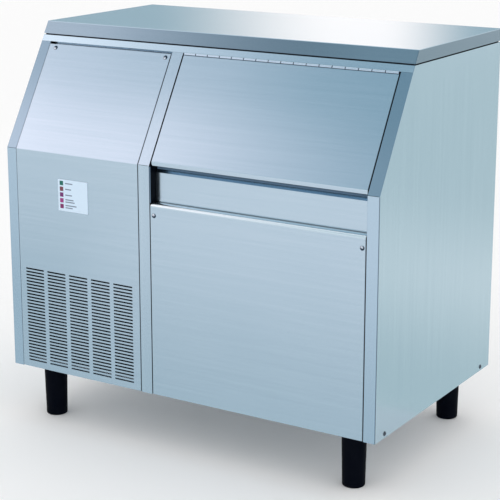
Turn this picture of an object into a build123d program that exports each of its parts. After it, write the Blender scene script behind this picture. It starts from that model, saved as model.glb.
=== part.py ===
# Self-contained flake ice machine with a storage bin under a sloping front door
# Millimetres. +Z up, front faces -Y, origin on the floor under the middle of the cabinet
from build123d import *
import math
import os

os.makedirs("parts", exist_ok=True)

# Overall sizes
width = 950.0
depth = 576.0
body_height = 788.0
leg_height = 125.0
front_height = 517.0
slope_angle = 30.7

# Sheet metal
sheet = 1.2
base_sheet = 2.0
skin_gap = 0.3
joint_slit = 0.8

# Worktop and its seal
worktop_height = 27.0
worktop_return = 14.0
seal_height = 3.0
seal_width = 8.0
seal_inset = 4.0

# Front layout, measured from the left side of the cabinet
post_width = 27.0
service_left = 28.0
service_right = 366.0
middle_post_left = 367.2
middle_post_right = 395.5
door_left = 399.0
door_right = 921.0
jamb_gap = 1.0
jamb_wall = 2.2

# Folds
post_fold = 14.0
side_fold = 15.0
panel_bottom_gap = 1.0
bend_radius = 2.0

# Header rail and the seam under it, measured up the slope from the bend
header_bottom = 265.0
header_fold = 12.0
header_top_fold = 30.0
header_lip = 25.0
header_lip_end = 2.0
service_top = 258.8
cover_fold = header_fold - skin_gap

# Piano hinge
hinge_radius = 3.0
hinge_pin_radius = 1.5
hinge_clearance = 0.05
hinge_knuckles = 17
hinge_leaf = 12.0
knuckle_gap = 0.6
hinge_end = 0.5

# Bin door
door_bottom_rise = 0.8
door_lip = 8.5
door_depth = 24.0
door_liner_wall = 2.0
door_pan_height = 9.0
door_pan_margin = 16.0
gasket_height = 2.7
gasket_width = 10.0
gasket_gap = 0.3
gasket_side = 7.0
gasket_below = 20.0
gasket_above = 14.0
door_pan_corner = 10.0

# Bin opening frame
frame_wall = 3.0
frame_margin = 25.0
frame_low = 30.0
frame_high = 238.0
ledge_along = 5.0
ledge_drop = 4.0

# Finger recess and lower front panel
recess_depth = 19.5
recess_bottom = 435.6
recess_top = 500.7
panel_top_radius = 9.0

# Bin liner and insulation
liner_wall = 3.0
liner_bottom = 35.0
liner_front = 40.0
liner_back = 36.0
liner_top = 30.0
liner_side = 35.0
liner_radius = 12.0
foam_gap = 0.5

# Ventilation slots of the service panel
slot_columns = 5
slot_rows = 30
slot_left = 44.2
slot_pitch_x = 62.3
slot_length = 52.5
slot_bottom = 17.8
slot_pitch_z = 7.6
slot_height = 3.5

# Status label and its lights
label_left = 146.0
label_width = 82.5
label_bottom = 388.0
label_height = 72.5
label_wall = 0.8
light_size = 9.6
light_left = 151.0
light_bottom = 394.0
light_pitch = 13.2
light_count = 5
light_proud = 0.3
led_radius = 2.5
indicator_gap = 8.0
board_wall = 1.6
board_post_radius = 3.0
board_post_inset = 5.0

# Screws
screw_head_radius = 5.0
screw_head_height = 2.6
screw_head_rim = 0.5
screw_radius = 2.0
screw_hole = screw_radius + 0.3
drive_radius = 1.6
drive_depth = 1.3

# Base pan, leg plates and legs
base_fold = 22.0
base_front = 15.5
leg_plate = 5.0
leg_plate_length = 80.0
leg_plate_width = 60.0
leg_inset_x = 77.0
leg_inset_y = 56.0
leg_top_radius = 27.0
leg_bottom_radius = 24.5
leg_rim = 1.5
leg_edge = 3.5
leg_gap = 0.3
stud_radius = 5.0
stud_clearance = 0.05
stud_length = 28.0

# Machine compartment
partition_x = 381.5
partition_front = 18.0
inner_front = 90.0

# Values that follow from the sizes above
sine = math.sin(math.radians(slope_angle))
cosine = math.cos(math.radians(slope_angle))
left = -width / 2
right = width / 2
front = -depth / 2
back = depth / 2
floor = leg_height
top = leg_height + body_height
bend = floor + front_height
cabinet_top = top - worktop_height - seal_height
slope_to_cabinet_top = (cabinet_top - bend) / cosine
header_back = front + slope_to_cabinet_top * sine + header_top_fold
hinge_along = header_bottom - hinge_radius
door_top = header_bottom - 2 * hinge_radius
frame_face = door_depth + door_liner_wall + gasket_height + gasket_gap
frame_back = frame_face + frame_wall


def slope_point(along, inward=0.0):
    """Side-view point up the slope from the bend and behind its face."""
    return (front + along * sine + inward * cosine, bend + along * cosine - inward * sine)


def bend_point(inward):
    """Side-view corner between the upright face and the slope, both moved back."""
    return (front + inward, bend - inward * math.tan(math.radians(slope_angle / 2)))


def slope_at_y(y, inward):
    """Point of the moved-back slope face at a given distance from front to back."""
    return slope_point((y - front - inward * cosine) / sine, inward)


def slope_at_z(z, inward):
    """Point of the moved-back slope face at a given height."""
    return slope_point((z - bend + inward * sine) / cosine, inward)


def side_face(points, rounded=()):
    """Face in the side view; rounded holds pairs of a corner and its radius."""
    face = make_face(Polyline(*points, close=True))
    for corner, radius in rounded:
        vertex = face.vertices().sort_by_distance(Vector(*corner))[0]
        face = fillet(vertex, radius)
    return face


def prism(points, x_low, x_high, rounded=()):
    """Side-view outline drawn out across the cabinet."""
    return Pos(x_low, 0, 0) * extrude(Plane.YZ * side_face(points, rounded), x_high - x_low)


def block(x_low, x_high, y_low, y_high, z_low, z_high):
    """Box between its low and high corners."""
    centre = Pos((x_low + x_high) / 2, (y_low + y_high) / 2, (z_low + z_high) / 2)
    return centre * Box(x_high - x_low, y_high - y_low, z_high - z_low)


def rod(start, end, radius):
    """Round bar between two points."""
    a = Vector(*start)
    b = Vector(*end)
    plane = Plane(origin=a, z_dir=b - a)
    return extrude(plane * Circle(radius), (b - a).length)


def ring(start, end, outer, inner):
    """Round tube between two points."""
    return rod(start, end, outer) - rod(start, end, inner)


def slope_rod(x, along, near, far, radius):
    """Round bar square to the slope, from one depth behind its face to another."""
    return rod((x, *slope_point(along, near)), (x, *slope_point(along, far)), radius)


def tube(points, outer, bends):
    """Bent tube along a path of straight runs and arcs."""
    path = FilletPolyline(*points, radius=bends)
    return sweep(Plane(origin=path @ 0, z_dir=path % 0) * Circle(outer), path=path)


def front_band(low, along, near, far, end=0.0):
    """Outline of a strip that follows the front from a low height to a place on the slope."""
    return [
        (front + near, low + end),
        bend_point(near),
        slope_point(along - end, near),
        slope_point(along - end, far),
        bend_point(far),
        (front + far, low + end),
    ]


def pan_screw(length):
    """Round-headed screw with a hexagon socket, its head's seat at the origin and shank along -Z."""
    crown = screw_head_height - screw_head_rim
    dome = (screw_head_radius**2 + crown**2) / (2 * crown)
    half_turn = math.asin(screw_head_radius / dome) / 2
    middle = (dome * math.sin(half_turn), screw_head_height - dome * (1 - math.cos(half_turn)))
    rim = (screw_head_radius, screw_head_rim)
    profile = make_face(
        Polyline((0, screw_head_height), (0, 0), (screw_head_radius, 0), rim)
        + ThreePointArc(rim, middle, (0, screw_head_height))
    )
    head = revolve(Plane.XZ * profile, Axis.Z)
    socket = extrude(RegularPolygon(drive_radius, 6), drive_depth + 1)
    drive = Pos(0, 0, screw_head_height - drive_depth) * socket
    shank = Pos(0, 0, -length) * Cylinder(screw_radius, length, align=(Align.CENTER, Align.CENTER, Align.MIN))
    return head - drive + shank


def screw_at(x, y, z, outward, length):
    """Screw seated at a point with its head towards outward."""
    return Plane(origin=(x, y, z), z_dir=outward) * pan_screw(length)


# Places of the screws, as seats on the faces that they hold
slope_outward = (0, -cosine, sine)
service_screw_along = 250.0
service_screw_x = (left + 47.0, left + 353.0)
lower_screw_z = floor + 408.7
lower_screw_x = (left + door_left + 8.0, left + door_right - 8.0)
side_screw_y = (front + 42.5, back - 49.0)
side_screw_z = floor + 9.5
back_screw_inset = 10.0
back_screw_x = (left + back_screw_inset, right - back_screw_inset)
back_screw_z = (floor + 12.0, floor + 0.5 * body_height, cabinet_top - 14.0)


def worktop():
    """Folded worktop tray with a sloping front edge and returned lower edges."""
    low = top - worktop_height
    outer = prism(
        [slope_at_z(low, 0), slope_at_z(top, 0), (back, top), (back, low)],
        left,
        right,
        [(slope_at_z(top, 0), bend_radius)],
    )
    cavity = prism(
        [
            slope_at_z(low + sheet, sheet),
            slope_at_z(top - sheet, sheet),
            (back - sheet, top - sheet),
            (back - sheet, low + sheet),
        ],
        left + sheet,
        right - sheet,
    )
    mouth_front = slope_at_z(low, 0)[0] + worktop_return
    mouth = block(
        left + worktop_return,
        right - worktop_return,
        mouth_front,
        back - worktop_return,
        low - 1,
        low + 2 * sheet,
    )
    return outer - cavity - mouth


def worktop_seal():
    """Dark strip that sets the worktop a little off the cabinet."""
    front_y = slope_at_z(cabinet_top, 0)[0] + seal_inset
    outer = block(
        left + seal_inset,
        right - seal_inset,
        front_y,
        back - seal_inset,
        cabinet_top,
        cabinet_top + seal_height,
    )
    inset = seal_inset + seal_width
    inner = block(
        left + inset,
        right - inset,
        front_y + seal_width,
        back - inset,
        cabinet_top - 1,
        cabinet_top + seal_height + 1,
    )
    return outer - inner


def side_outline(inset, low):
    """Cabinet outline in the side view, moved in from the front, slope, top and back."""
    return [
        (front + inset, low),
        bend_point(inset),
        slope_at_z(cabinet_top - inset, inset),
        (back - sheet - inset, cabinet_top - inset),
        (back - sheet - inset, low),
    ]


def left_side_panel():
    """Side sheet with its front edge folded in as the corner post and a slit where the post bends."""
    tray = prism(side_outline(0, floor), left, left + post_width)
    edges = tray.edges().filter_by_position(Axis.X, left - 0.01, left + 0.01)
    slope_middle = slope_at_z((bend + cabinet_top) / 2, 0)[0]
    front_edges = [e for e in edges if e.center().Y < front + 0.5 or abs(e.center().Y - slope_middle) < 0.5]
    tray = fillet(front_edges, bend_radius)
    tray -= prism(side_outline(sheet, floor - 1), left + sheet, left + post_width + 1)
    past_slope = slope_at_z(cabinet_top, 0)[0] + sheet
    tray -= block(left + side_fold, left + post_width + 1, past_slope, back, floor - 1, cabinet_top + 1)
    seam = header_bottom - skin_gap
    tray -= prism(
        [
            slope_point(seam, -2),
            slope_point(seam, header_fold + 2),
            (header_back + skin_gap, slope_point(seam, header_fold + 2)[1]),
            (header_back + skin_gap, cabinet_top + 2),
            (slope_point(seam, -2)[0], cabinet_top + 2),
        ],
        left + sheet,
        left + post_width + 1,
    )
    tray -= bend_slit(left + 2 * sheet, left + post_width + 1)
    for y in side_screw_y:
        tray -= rod((left - 1, y, side_screw_z), (left + 2 * sheet, y, side_screw_z), screw_hole)
    for z in back_screw_z:
        tray -= rod((back_screw_x[0], back - 3 * sheet, z), (back_screw_x[0], back, z), screw_hole)
    return tray


def bend_slit(x_low, x_high):
    """Narrow cut across a flange where it bends from upright to sloping."""
    half = joint_slit / 2
    return block(x_low, x_high, front - 1, front + 2 * sheet, bend - half, bend + half)


def right_side_panel():
    """Mirror of the left side sheet."""
    return mirror(left_side_panel(), Plane.YZ)


def middle_front_post():
    """Channel between the two bays that follows the front and the slope."""
    x_low = left + middle_post_left
    x_high = left + middle_post_right
    along = header_bottom - skin_gap
    outer = prism(front_band(floor, along, 0, post_fold), x_low, x_high)
    inner = prism(front_band(floor - 1, along + 1, sheet, post_fold + 1), x_low + sheet, x_high - sheet)
    return outer - inner - bend_slit(x_low + sheet, x_high - sheet)


def header_rail():
    """Folded rail across the cabinet under the worktop, with a lip that takes the service panel's screws."""
    corner = slope_at_z(cabinet_top, 0)
    section = [
        slope_point(header_bottom, 0),
        corner,
        (header_back, cabinet_top),
        (header_back, cabinet_top - sheet),
        slope_at_z(cabinet_top - sheet, sheet),
        slope_point(header_bottom + sheet, sheet),
        slope_point(header_bottom + sheet, header_fold),
        slope_point(header_bottom, header_fold),
    ]
    rail = prism(section, left + sheet, right - sheet)
    lip = [
        slope_point(header_bottom + sheet, header_fold),
        slope_point(header_bottom + sheet, header_fold + sheet),
        slope_point(header_bottom - header_lip, header_fold + sheet),
        slope_point(header_bottom - header_lip, header_fold),
    ]
    rail += prism(lip, left + service_left + header_lip_end, left + service_right - header_lip_end)
    for x in service_screw_x:
        rail -= slope_rod(x, service_screw_along, header_fold - 1, header_fold + 3, screw_hole)
    return rail


def vent_slot(x_low, z_low, length, height, y_low, y_high):
    """Round-ended slot cut through an upright sheet."""
    radius = height / 2
    centre = Pos(x_low + length / 2, y_high, z_low + radius)
    return centre * extrude(Plane.XZ * SlotOverall(length, height), y_high - y_low)


def left_service_panel():
    """One bent sheet over the machine compartment with a field of vent slots low down."""
    x_low = left + service_left
    x_high = left + service_right
    low = floor + panel_bottom_gap
    panel = prism(
        front_band(low, service_top, 0, cover_fold),
        x_low,
        x_high,
        [(bend_point(0), bend_radius + sheet)],
    )
    panel -= prism(
        front_band(low, service_top, sheet, cover_fold + 1, sheet),
        x_low + sheet,
        x_high - sheet,
        [(bend_point(sheet), bend_radius)],
    )
    slots = []
    for column in range(slot_columns):
        for row in range(slot_rows):
            slot_x = left + slot_left + column * slot_pitch_x
            slot_z = floor + slot_bottom + row * slot_pitch_z - slot_height / 2
            slots.append(vent_slot(slot_x, slot_z, slot_length, slot_height, front - 1, front + 2 * sheet))
    panel -= slots
    for x in service_screw_x:
        panel -= slope_rod(x, service_screw_along, -1, sheet + 1, screw_hole)
    for z in light_centres():
        centre_x = left + light_left + light_size / 2
        panel -= rod((centre_x, front - 1, z), (centre_x, front + 2 * sheet, z), led_radius + skin_gap)
    return panel


def light_centres():
    """Heights of the five status lights, from the lowest up."""
    first = floor + light_bottom + light_size / 2
    return [first + i * light_pitch for i in range(light_count)]


def status_label():
    """White overlay plate with a square window for each light."""
    label = block(
        left + label_left,
        left + label_left + label_width,
        front - label_wall,
        front,
        floor + label_bottom,
        floor + label_bottom + label_height,
    )
    half = light_size / 2 + skin_gap / 2
    centre_x = left + light_left + light_size / 2
    for z in light_centres():
        label -= block(centre_x - half, centre_x + half, front - 2, front + 1, z - half, z + half)
    return label


def status_light_lenses():
    """Five square coloured lenses in the label's windows."""
    half = light_size / 2
    centre_x = left + light_left + half
    lens_front = front - label_wall - light_proud
    lenses = []
    for z in light_centres():
        lens = block(centre_x - half, centre_x + half, lens_front, front, z - half, z + half)
        lenses.append(chamfer(lens.faces().sort_by(Axis.Y)[0].edges(), light_proud / 2))
    return lenses


def indicator_board():
    """Small circuit board on stand-offs behind the label, with one lamp for each light."""
    x_low = left + label_left
    x_high = x_low + label_width
    z_low = floor + label_bottom
    z_high = z_low + label_height
    board_front = front + sheet + indicator_gap
    board = block(x_low, x_high, board_front, board_front + board_wall, z_low, z_high)
    past_lights = left + light_left + light_size + 2 * board_post_inset
    for x in (past_lights, x_high - board_post_inset):
        for z in (z_low + board_post_inset, z_high - board_post_inset):
            board += rod((x, front + sheet, z), (x, board_front, z), board_post_radius)
    centre_x = left + light_left + light_size / 2
    for z in light_centres():
        board += rod((centre_x, front + skin_gap, z), (centre_x, board_front, z), led_radius)
    return board


def lower_front_panel():
    """Cover below the finger recess with a large rolled fold along its top."""
    x_low = left + door_left - jamb_gap
    x_high = left + door_right + jamb_gap / 2
    low = floor + panel_bottom_gap
    high = floor + recess_bottom
    corner = (front, high)
    back_edge = front + recess_depth - skin_gap
    panel = prism(
        [(front, low), corner, (back_edge, high), (back_edge, low)],
        x_low,
        x_high,
        [(corner, panel_top_radius)],
    )
    inner_corner = (front + sheet, high - sheet)
    panel -= prism(
        [
            (front + sheet, low + sheet),
            inner_corner,
            (front + recess_depth + 1, high - sheet),
            (front + recess_depth + 1, low + sheet),
        ],
        x_low + sheet,
        x_high - sheet,
        [(inner_corner, panel_top_radius - sheet)],
    )
    past = front + recess_depth + 1
    panel -= block(x_low - 1, x_high + 1, front + cover_fold, past, low - 1, high - panel_top_radius)
    for x in lower_screw_x:
        panel -= rod((x, front - 1, lower_screw_z), (x, front + 2 * sheet, lower_screw_z), screw_hole)
    return panel


def bin_front_skin():
    """Upright skin behind the lower cover, whose top backs the finger recess and turns in under the door."""
    x_low = left + door_left - jamb_gap + skin_gap
    x_high = left + door_right + jamb_gap - skin_gap
    near = front + recess_depth
    ledge_back = slope_point(ledge_along, frame_face)
    rise = (ledge_back[1] - floor - recess_top) / (ledge_back[0] - near)
    section = [
        (near, floor + base_sheet),
        (near, floor + recess_top),
        ledge_back,
        (ledge_back[0] + sheet * 0.5, ledge_back[1] - sheet),
        (near + sheet, floor + recess_top + rise * sheet - 1.25 * sheet),
        (near + sheet, floor + base_sheet),
    ]
    skin = prism(section, x_low, x_high)
    for x in lower_screw_x:
        skin -= rod((x, near - 1, lower_screw_z), (x, near + 2 * sheet, lower_screw_z), screw_hole)
    return skin


def bin_opening_frame():
    """Dark moulded surround of the bin's mouth, with jambs that line both ends of the finger recess."""
    x_low = left + partition_x + sheet + skin_gap
    x_high = right - sheet - skin_gap
    low_along = ledge_along
    high_along = header_bottom - skin_gap
    face = [
        slope_point(low_along, frame_face),
        slope_point(high_along, frame_face),
        slope_point(high_along, frame_back),
        slope_point(low_along, frame_back),
    ]
    frame = prism(face, x_low, x_high)
    mouth = [
        slope_point(frame_low, frame_face - 1),
        slope_point(frame_high, frame_face - 1),
        slope_point(frame_high, frame_back + 1),
        slope_point(frame_low, frame_back + 1),
    ]
    frame -= prism(mouth, left + door_left + frame_margin, left + door_right - frame_margin)
    jamb_near = sheet + skin_gap
    jamb = [
        (front + jamb_near, floor + recess_bottom + skin_gap),
        bend_point(jamb_near),
        slope_point(high_along - sheet, jamb_near),
        slope_point(high_along - sheet, frame_face),
        slope_point(low_along, frame_face),
        slope_point(low_along, frame_back),
        (front + recess_depth + sheet, floor + recess_top - ledge_drop),
        (front + recess_depth + sheet, floor + recess_bottom + skin_gap),
    ]
    outer_left = left + door_left - jamb_gap
    outer_right = left + door_right + jamb_gap
    frame += prism(jamb, outer_left - jamb_wall, outer_left)
    frame += prism(jamb, outer_right, outer_right + jamb_wall)
    return frame


def door_outline(inset, past=0.0):
    """Side-view outline of the door shell, moved in from its top, face, lip and underside."""
    low = bend + door_bottom_rise
    lip_y = slope_at_z(low + door_lip, 0)[0]
    return [
        slope_point(door_top - inset, inset),
        slope_at_y(lip_y + inset, inset),
        (lip_y + inset, low + inset),
        slope_at_z(low + inset, door_depth + past),
        slope_point(door_top - inset, door_depth + past),
    ]


def bin_door_skin():
    """Folded door sheet with an upright lip along its lower edge."""
    x_low = left + door_left
    x_high = left + door_right
    outline = door_outline(0)
    skin = prism(outline, x_low, x_high, [(outline[1], bend_radius + sheet)])
    inner = door_outline(sheet, 3.0)
    skin -= prism(inner, x_low + sheet, x_high - sheet, [(inner[1], bend_radius)])
    return skin


def bin_door_liner():
    """Moulded back of the door with a raised pan that fills the bin's mouth."""
    low = bend + door_bottom_rise + sheet / 2
    x_low = left + door_left + sheet / 2
    x_high = left + door_right - sheet / 2
    outer = door_depth + door_liner_wall
    plate = [
        slope_at_z(low, door_depth),
        slope_point(door_top - sheet / 2, door_depth),
        slope_point(door_top - sheet / 2, outer),
        slope_at_z(low, outer),
    ]
    liner = prism(plate, x_low, x_high)
    pan_low = frame_low + door_pan_margin
    pan_high = frame_high - door_pan_margin
    pan_left = left + door_left + frame_margin + door_pan_margin
    pan_right = left + door_right - frame_margin - door_pan_margin
    pan = pan_block(pan_left, pan_right, pan_low, pan_high, outer - 0.5, outer + door_pan_height)
    hollow = pan_block(
        pan_left + door_liner_wall,
        pan_right - door_liner_wall,
        pan_low + door_liner_wall,
        pan_high - door_liner_wall,
        door_depth - 1,
        outer + door_pan_height - door_liner_wall,
    )
    return liner + pan - hollow


def pan_block(x_low, x_high, along_low, along_high, near, far):
    """Block lying on the slope with rounded corners."""
    outline = [
        slope_point(along_low, near),
        slope_point(along_high, near),
        slope_point(along_high, far),
        slope_point(along_low, far),
    ]
    solid = prism(outline, x_low, x_high)
    direction = Vector(0, cosine, -sine)
    upright = [e for e in solid.edges() if abs((e % 0.5).dot(direction)) > 0.99]
    return fillet(upright, door_pan_corner)


def bin_door_foam():
    """Insulation that fills the door between its skin and its liner."""
    outline = door_outline(sheet + skin_gap, -skin_gap)
    return prism(outline, left + door_left + sheet + skin_gap, left + door_right - sheet - skin_gap)


def door_gasket():
    """Rubber seal round the back of the door."""
    near = door_depth + door_liner_wall
    far = near + gasket_height
    x_low = left + door_left + gasket_side
    x_high = left + door_right - gasket_side
    low = frame_low - gasket_below
    high = frame_high + gasket_above
    outer = [slope_point(low, near), slope_point(high, near), slope_point(high, far), slope_point(low, far)]
    w = gasket_width
    inner = [
        slope_point(low + w, near - 1),
        slope_point(high - w, near - 1),
        slope_point(high - w, far + 1),
        slope_point(low + w, far + 1),
    ]
    return prism(outer, x_low, x_high) - prism(inner, x_low + w, x_high - w)


def hinge_spans(first):
    """Start and end of every second knuckle of the piano hinge."""
    start = left + door_left + hinge_end
    pitch = (door_right - door_left - 2 * hinge_end) / hinge_knuckles
    spans = []
    for i in range(first, hinge_knuckles, 2):
        spans.append((start + i * pitch + knuckle_gap / 2, start + (i + 1) * pitch - knuckle_gap / 2))
    return spans


def hinge_leaf_plate(edge, thickness, first):
    """Leaf beside the barrel, notched where the other leaf's knuckles turn."""
    x_low = left + door_left + hinge_end
    x_high = left + door_right - hinge_end
    outline = [
        slope_point(edge, 0),
        slope_point(edge + thickness, 0),
        slope_point(edge + thickness, hinge_leaf),
        slope_point(edge, hinge_leaf),
    ]
    leaf = prism(outline, x_low, x_high)
    reach = hinge_radius + knuckle_gap
    centre = slope_point(hinge_along, 0)
    for span in hinge_spans(1 - first):
        leaf -= rod((span[0] - knuckle_gap, *centre), (span[1] + knuckle_gap, *centre), reach)
    for span in hinge_spans(first):
        leaf += rod((span[0], *centre), (span[1], *centre), hinge_radius)
    return leaf - rod((x_low - 1, *centre), (x_high + 1, *centre), hinge_pin_radius + hinge_clearance)


def hinge_frame_leaf():
    """Piano hinge leaf under the header rail."""
    return hinge_leaf_plate(header_bottom - sheet, sheet, 0)


def hinge_door_leaf():
    """Piano hinge leaf on the door's top fold."""
    return hinge_leaf_plate(door_top, sheet, 1)


def hinge_pin():
    """Long pin of the piano hinge."""
    centre = slope_point(hinge_along, 0)
    return rod((left + door_left, *centre), (left + door_right, *centre), hinge_pin_radius)


# Places in the machine compartment, measured from the cabinet's left, front, back and floor
pocket_depth = 42.0
condenser_x = (left + 40.0, left + 345.0)
condenser_y = (front + inner_front, front + inner_front + 40.0)
condenser_z = (floor + base_sheet, floor + 245.0)
coil_end = 6.0
fin_end = 4.0
fin_pitch = 8.0
fin_wall = 0.6
fin_proud = 8.0
end_room = 14.0
bend_rise = 44.0
bend_half = 8.0
bend_count = 4
stub_inset = 5.0
stub_rise = 5.0
stub_drop = 16.0
line_radius = 4.0
line_bend = 14.0
fan_x = left + 192.0
fan_z = floor + 126.0
fan_radius = 100.0
fan_gap = 4.0
fan_hub_radius = 22.0
fan_hub_edge = 5.0
fan_blades = 5
blade_root = (26.0, 42.0)
blade_belly = (44.0, 30.0)
blade_tip = (50.0, 22.0)
blade_camber = 3.0
blade_wall = 2.6
shaft_radius = 4.0
shaft_clearance = 0.05
shroud_y = condenser_y[1] + 8.0
shroud_wall = 1.5
shroud_depth = 36.0
arm_wall = 4.0
arm_half = 6.0
motor_radius = 38.0
motor_length = 52.0
motor_edge = 8.0
motor_ribs = 10
rib_depth = 2.0
rib_half = 1.5
rib_end = 12.0
shaft_start = 6.0
barrel_x = left + 280.0
barrel_y = back - 176.0
gearbox_half = 62.0
gearbox_z = (floor + 94.0, floor + 160.0)
gearbox_corner = 14.0
gearbox_edge = 4.0
pillar_inset = 10.0
pillar_radius = 7.0
pillar_foot_radius = 12.0
pillar_foot = 5.0
main_motor_radius = 42.0
main_motor_gap = 14.0
main_motor_ribs = 12
barrel_bore = 36.0
barrel_wall = 4.0
barrel_z = (gearbox_z[1], gearbox_z[1] + 350.0)
barrel_flange = 54.0
flange_height = 8.0
sleeve_wall = 6.0
sleeve_low = 32.0
sleeve_high = 18.0
jacket_radius = 74.0
port_z = (barrel_z[0] + 52.0, barrel_z[0] + 300.0)
port_y = barrel_y - jacket_radius - 6.0
port_radius = 5.0
hose_bore = 6.0
hose_wall = 2.0
hose_bend = 30.0
hose_seat = 3.0
water_inlet_rise = 18.0
water_inlet_length = 14.0
auger_core = 13.0
auger_gap = 0.5
auger_turns = 6
auger_bar = 16.0
auger_shaft = 10.0
auger_tail = 30.0
auger_hole = auger_shaft + shaft_clearance
head_height = 46.0
head_radius = barrel_flange - 8.0
head_ports = 6
port_ring = 27.0
ice_port_radius = 8.0
head_z = barrel_z[1] + head_height
spout_wall = 3.0
spout_height = 74.0
spout_half = 42.0
spout_end = 436.0
spout_fall = 16.0
compressor_x = left + 112.0
fitting_inside = 20.0
compressor_y = (shroud_y + shroud_depth + motor_length + back - pocket_depth - fitting_inside) / 2
compressor_radius = 82.0
compressor_height = 190.0
compressor_dome = 48.0
compressor_corner = 30.0
compressor_seam = 96.0
seam_width = 5.0
seam_height = 6.0
foot_corner = 14.0
foot_hole = 7.2
terminal_proud = 18.0
terminal_half = 26.0
terminal_rise = (50.0, 92.0)
stub_low = 120.0
grommet_height = 16.0
grommet_radius = 12.0
foot_plate = 4.0
foot_inset_x = 14.0
foot_inset_y = 15.0
collar_height = 5.0
collar_radius = 9.6
stub_angles = (35.0, 145.0)
stub_ring = compressor_radius - 8.0
stub_top = floor + base_sheet + grommet_height + compressor_height
tank_x = (left + 50.0, left + 170.0)
tank_depth = 92.0
tank_z = (floor + 415.0, floor + 505.0)
tank_wall = 2.5
tank_corner = 6.0
tank_spigot_inset = 20.0
tank_spigot_length = 16.0
spigot_radius = 6.0
spigot_bore = 4.0
valve_radius = 7.0
valve_bore = 3.0
valve_rise = 26.0
valve_drop = 14.0
lid_wall = 3.0
float_pin = 2.0
float_eye = 4.5
float_eye_half = 4.0
float_arm_half = 3.0
float_arm_length = 32.0
float_arm_wall = 4.0
float_half = 32.0
float_y = (12.0, 50.0)
float_z = (-46.0, -18.0)
float_edge = 5.0
lug_reach = 9.0
lug_wall = 4.0
lug_half = 5.0
valve_gap = 14.0
control_front_room = 81.0
control_z = (floor + 330.0, floor + 560.0)
control_y = (slope_at_z(control_z[1], cover_fold)[0] + control_front_room, port_y - 20.0)
control_depth = 80.0
control_wall = 1.2
cover_turn = 12.0
board_margin = 20.0
board_stand = 10.0
drier_x = left + 195.0
drier_y = (shroud_y + shroud_depth + port_y) / 2
drier_z = floor + 290.0
drier_radius = 14.0
drier_length = 134.0
drier_neck = 12.0
drier_shoulder = 24.0
drier_turn = 28.0
suction_turn = 35.0
suction_bend = 18.0
discharge_rise = 30.0
pocket_x = (left + 60.0, left + 210.0)
pocket_z = (floor + 55.0, floor + 150.0)
back_slot_columns = 3
back_slot_rows = 14
back_slot_pitch_x = 92.0
back_slot_pitch_z = 15.0
back_slot_length = 72.0
back_slot_height = 6.0
back_slot_bottom = 200.0
inlet_radius = 13.2
drain_radius = 12.0
gland_radius = 10.0
fitting_neck = 3.5
fitting_nut = 7.0
fitting_nut_proud = 4.0
fitting_tip = 4.0
fitting_bore = 6.0
gland_bore = 4.5
gland_edge = 2.0
fitting_z = (pocket_z[0] + pocket_z[1]) / 2
pocket_middle = (pocket_x[0] + pocket_x[1]) / 2
water_inlet_x = pocket_middle - 45.0
drain_outlet_x = pocket_middle + 4.0
cable_gland_x = pocket_middle + 46.0
drain_x = left + 560.0
drain_pipe_radius = 11.0


def leg_centres():
    """Name and centre of each leg."""
    near_x = left + leg_inset_x
    far_x = right - leg_inset_x
    near_y = front + leg_inset_y
    far_y = back - leg_inset_y
    return {
        "leg_front_left": (near_x, near_y),
        "leg_front_right": (far_x, near_y),
        "leg_rear_left": (near_x, far_y),
        "leg_rear_right": (far_x, far_y),
    }


def base_pan():
    """Floor tray of the cabinet with holes for the leg studs and the bin's drain."""
    x_low = left + sheet
    y_low = front + base_front
    y_high = back - 2 * sheet
    pan = block(x_low, -x_low, y_low, y_high, floor, floor + base_fold)
    pan -= block(
        x_low + base_sheet,
        -x_low - base_sheet,
        y_low + base_sheet,
        y_high - base_sheet,
        floor + base_sheet,
        floor + base_fold + 1,
    )
    for x, y in leg_centres().values():
        pan -= rod((x, y, floor - 1), (x, y, floor + 3), stud_radius + stud_clearance)
    for side in (-1, 1):
        for y in side_screw_y:
            start = (side * (width / 2 - 6), y, side_screw_z)
            pan -= rod(start, (side * (width / 2 + 1), y, side_screw_z), screw_hole)
    run = drain_run()
    return pan - rod((drain_x, y_high - 6, run), (drain_x, y_high + 6, run), drain_pipe_radius - 1 + skin_gap)


def leg_mounting_plates():
    """Four thick plates on the base pan, with the threaded holes for the legs."""
    plates = []
    half_x = leg_plate_length / 2
    half_y = leg_plate_width / 2
    z_low = floor + base_sheet
    z_high = z_low + leg_plate
    for x, y in leg_centres().values():
        plate = block(x - half_x, x + half_x, y - half_y, y + half_y, z_low, z_high)
        plates.append(plate - rod((x, y, z_low - 1), (x, y, z_high + 1), stud_radius + stud_clearance))
    return plates


def leg(x, y):
    """Tapered plastic leg with a rounded foot and a moulded-in stud."""
    high = floor - leg_gap
    outline = make_face(
        Polyline(
            (0, 0),
            (leg_bottom_radius, 0),
            (leg_top_radius, high),
            (stud_radius, high),
            (stud_radius, high + stud_length),
            (0, high + stud_length),
            close=True,
        )
    )
    foot = outline.vertices().sort_by_distance(Vector(leg_bottom_radius, 0))[0]
    outline = fillet(foot, leg_edge)
    rim = outline.vertices().sort_by_distance(Vector(leg_top_radius, high))[0]
    outline = chamfer(rim, leg_rim)
    return Pos(x, y, 0) * revolve(Plane.XZ * outline, Axis.Z)


def partition():
    """Sheet wall between the machine compartment and the bin, with the ice spout's window."""
    x_low = left + partition_x
    y_back = back - 2 * sheet - base_sheet - skin_gap
    outline = [
        (front + partition_front, floor + base_sheet),
        bend_point(partition_front),
        slope_at_z(cabinet_top - sheet - skin_gap, partition_front),
        (y_back, cabinet_top - sheet - skin_gap),
        (y_back, floor + base_sheet),
    ]
    wall = prism(outline, x_low, x_low + sheet)
    foot = (front + inner_front, y_back - leg_plate_length)
    z_low = floor + base_sheet
    wall += block(x_low - side_fold, x_low + sheet, *foot, z_low, z_low + sheet)
    return wall - spout_duct(spout_wall + skin_gap)


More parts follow.
